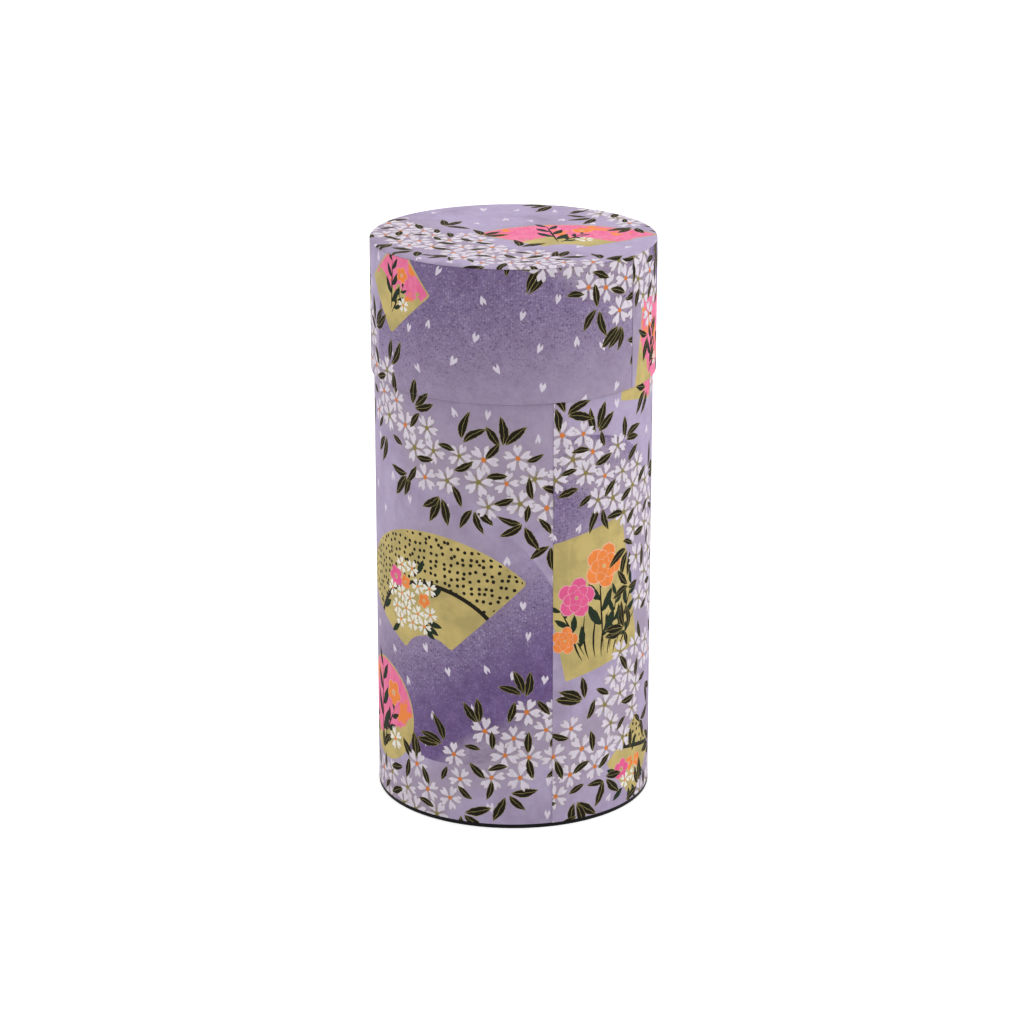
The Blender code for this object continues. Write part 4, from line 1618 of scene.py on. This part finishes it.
class TEATIN_OT_stage(bpy.types.Operator):
    """Makes the camera, the floor, the lamps and the light from all round"""

    bl_idname = "tea_tin.stage"
    bl_label = "Stage"
    aim = Vector((0, 0, 0.08))
    frame_pixels = 1024
    shift_pixels = (-1.54, -0.03)
    sensor_width = 36.0
    far_end = 50.0
    floor_half = 3.0
    floor_segments = 8
    floor_white = (0.8, 0.8, 0.8, 1)
    floor_roughness = 0.9
    floor_glow = 0.45
    lamp_size = 0.7
    lamps = (
        ("right_lamp", (1.06, 0.0, 0.55), "right_power"),
        ("left_lamp", (-1.0, 0.36, 0.55), "left_power"),
        ("top_lamp", (0, 0.1, 1.2), "top_power"),
    )

    def execute(self, context):
        stage = context.scene.tea_tin_stage
        self.make_camera(context.scene, stage)
        self.make_floor(context.scene)
        self.make_backdrop(context.scene, stage)
        for name, place, power in self.lamps:
            self.make_lamp(context.scene, name, Vector(place), getattr(stage, power))
        context.scene.view_settings.view_transform = "Standard"
        return {"FINISHED"}

    def linked(self, scene, name, data):
        """An object in the scene with that camera, lamp or mesh."""
        obj = bpy.data.objects.new(name, data)
        scene.collection.objects.link(obj)
        return obj

    def make_camera(self, scene, stage):
        """The photograph's view, at its elevation and with its small shift."""
        camera = self.linked(scene, "camera", bpy.data.cameras.new("camera"))
        back = Vector((0, -math.cos(stage.elevation), math.sin(stage.elevation)))
        camera.location = self.aim + back * stage.distance
        camera.rotation_euler = (-back).to_track_quat("-Z", "Y").to_euler()
        camera.data.lens = stage.lens
        camera.data.sensor_width = self.sensor_width
        camera.data.shift_x = self.shift_pixels[0] / self.frame_pixels
        camera.data.shift_y = self.shift_pixels[1] / self.frame_pixels
        camera.data.clip_end = self.far_end
        scene.camera = camera

    def make_floor(self, scene):
        """A white floor that glows a little for the camera alone, and keeps the tin's shadow."""
        bm = bmesh.new()
        segments = self.floor_segments
        bmesh.ops.create_grid(bm, x_segments=segments, y_segments=segments, size=self.floor_half)
        mesh = bpy.data.meshes.new("floor")
        bm.to_mesh(mesh)
        bm.free()
        self.linked(scene, "floor", mesh)
        material, nodes, shader = new_material("floor_white")
        shader.inputs["Base Color"].default_value = self.floor_white
        shader.inputs["Roughness"].default_value = self.floor_roughness
        shader.inputs["Specular IOR Level"].default_value = 0.0
        shader.inputs["Emission Color"].default_value = (1, 1, 1, 1)
        seen = nodes.value("ShaderNodeLightPath", output="Is Camera Ray")
        nodes.put(shader.inputs["Emission Strength"], seen * self.floor_glow)
        mesh.materials.append(material)

    def make_backdrop(self, scene, stage):
        """Even light from all round, and full white for what the camera and mirrors see."""
        scene.world = bpy.data.worlds.new("studio")
        scene.world.use_nodes = True
        nodes = Nodes(scene.world.node_tree)
        rays = nodes.outputs("ShaderNodeLightPath")
        seen = rays["Is Camera Ray"] | rays["Is Glossy Ray"] | rays["Is Transmission Ray"]
        background = scene.world.node_tree.nodes["Background"]
        background.inputs["Color"].default_value = (1, 1, 1, 1)
        nodes.put(background.inputs["Strength"], seen.mix(stage.ambient, 1.0, "FLOAT"))

    def make_lamp(self, scene, name, place, power):
        """A square lamp that points at the tin."""
        lamp = bpy.data.lights.new(name, "AREA")
        lamp.shape = "SQUARE"
        lamp.size = self.lamp_size
        lamp.energy = power
        obj = self.linked(scene, name, lamp)
        obj.location = place
        obj.rotation_euler = (self.aim - place).to_track_quat("-Z", "Y").to_euler()


OPERATORS = (
    TEATIN_OT_stage,
    TEATIN_OT_body_shell,
    TEATIN_OT_base,
    TEATIN_OT_body_paper,
    TEATIN_OT_lid_shell,
    TEATIN_OT_lid_side_paper,
    TEATIN_OT_lid_top_paper,
    TEATIN_OT_inner_lid,
    TEATIN_OT_knob,
    TEATIN_OT_rivet,
)
SETTINGS = (("tea_tin_sizes", TeaTinSizes), ("tea_tin_inks", TeaTinInks), ("tea_tin_stage", TeaTinStage))


class TEATIN_PT_panel(bpy.types.Panel):
    """Lists the tin's pieces and their settings"""

    bl_label = "Tea Tin"
    bl_idname = "TEATIN_PT_panel"
    bl_space_type = "VIEW_3D"
    bl_region_type = "UI"
    bl_category = "Tea Tin"

    def draw(self, context):
        for name, group in SETTINGS:
            box = self.layout.box()
            for setting in group.__annotations__:
                box.prop(getattr(context.scene, name), setting)
        for operator in OPERATORS:
            self.layout.operator(operator.bl_idname)


def register():
    for name, group in SETTINGS:
        bpy.utils.register_class(group)
        setattr(bpy.types.Scene, name, bpy.props.PointerProperty(type=group))
    for made in (*OPERATORS, TEATIN_PT_panel):
        bpy.utils.register_class(made)


def unregister():
    for made in reversed((*OPERATORS, TEATIN_PT_panel)):
        bpy.utils.unregister_class(made)
    for name, group in reversed(SETTINGS):
        delattr(bpy.types.Scene, name)
        bpy.utils.unregister_class(group)


def main():
    """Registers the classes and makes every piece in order."""
    register()
    for operator in OPERATORS:
        area, name = operator.bl_idname.split(".")
        getattr(getattr(bpy.ops, area), name)()


if __name__ == "__main__":
    main()
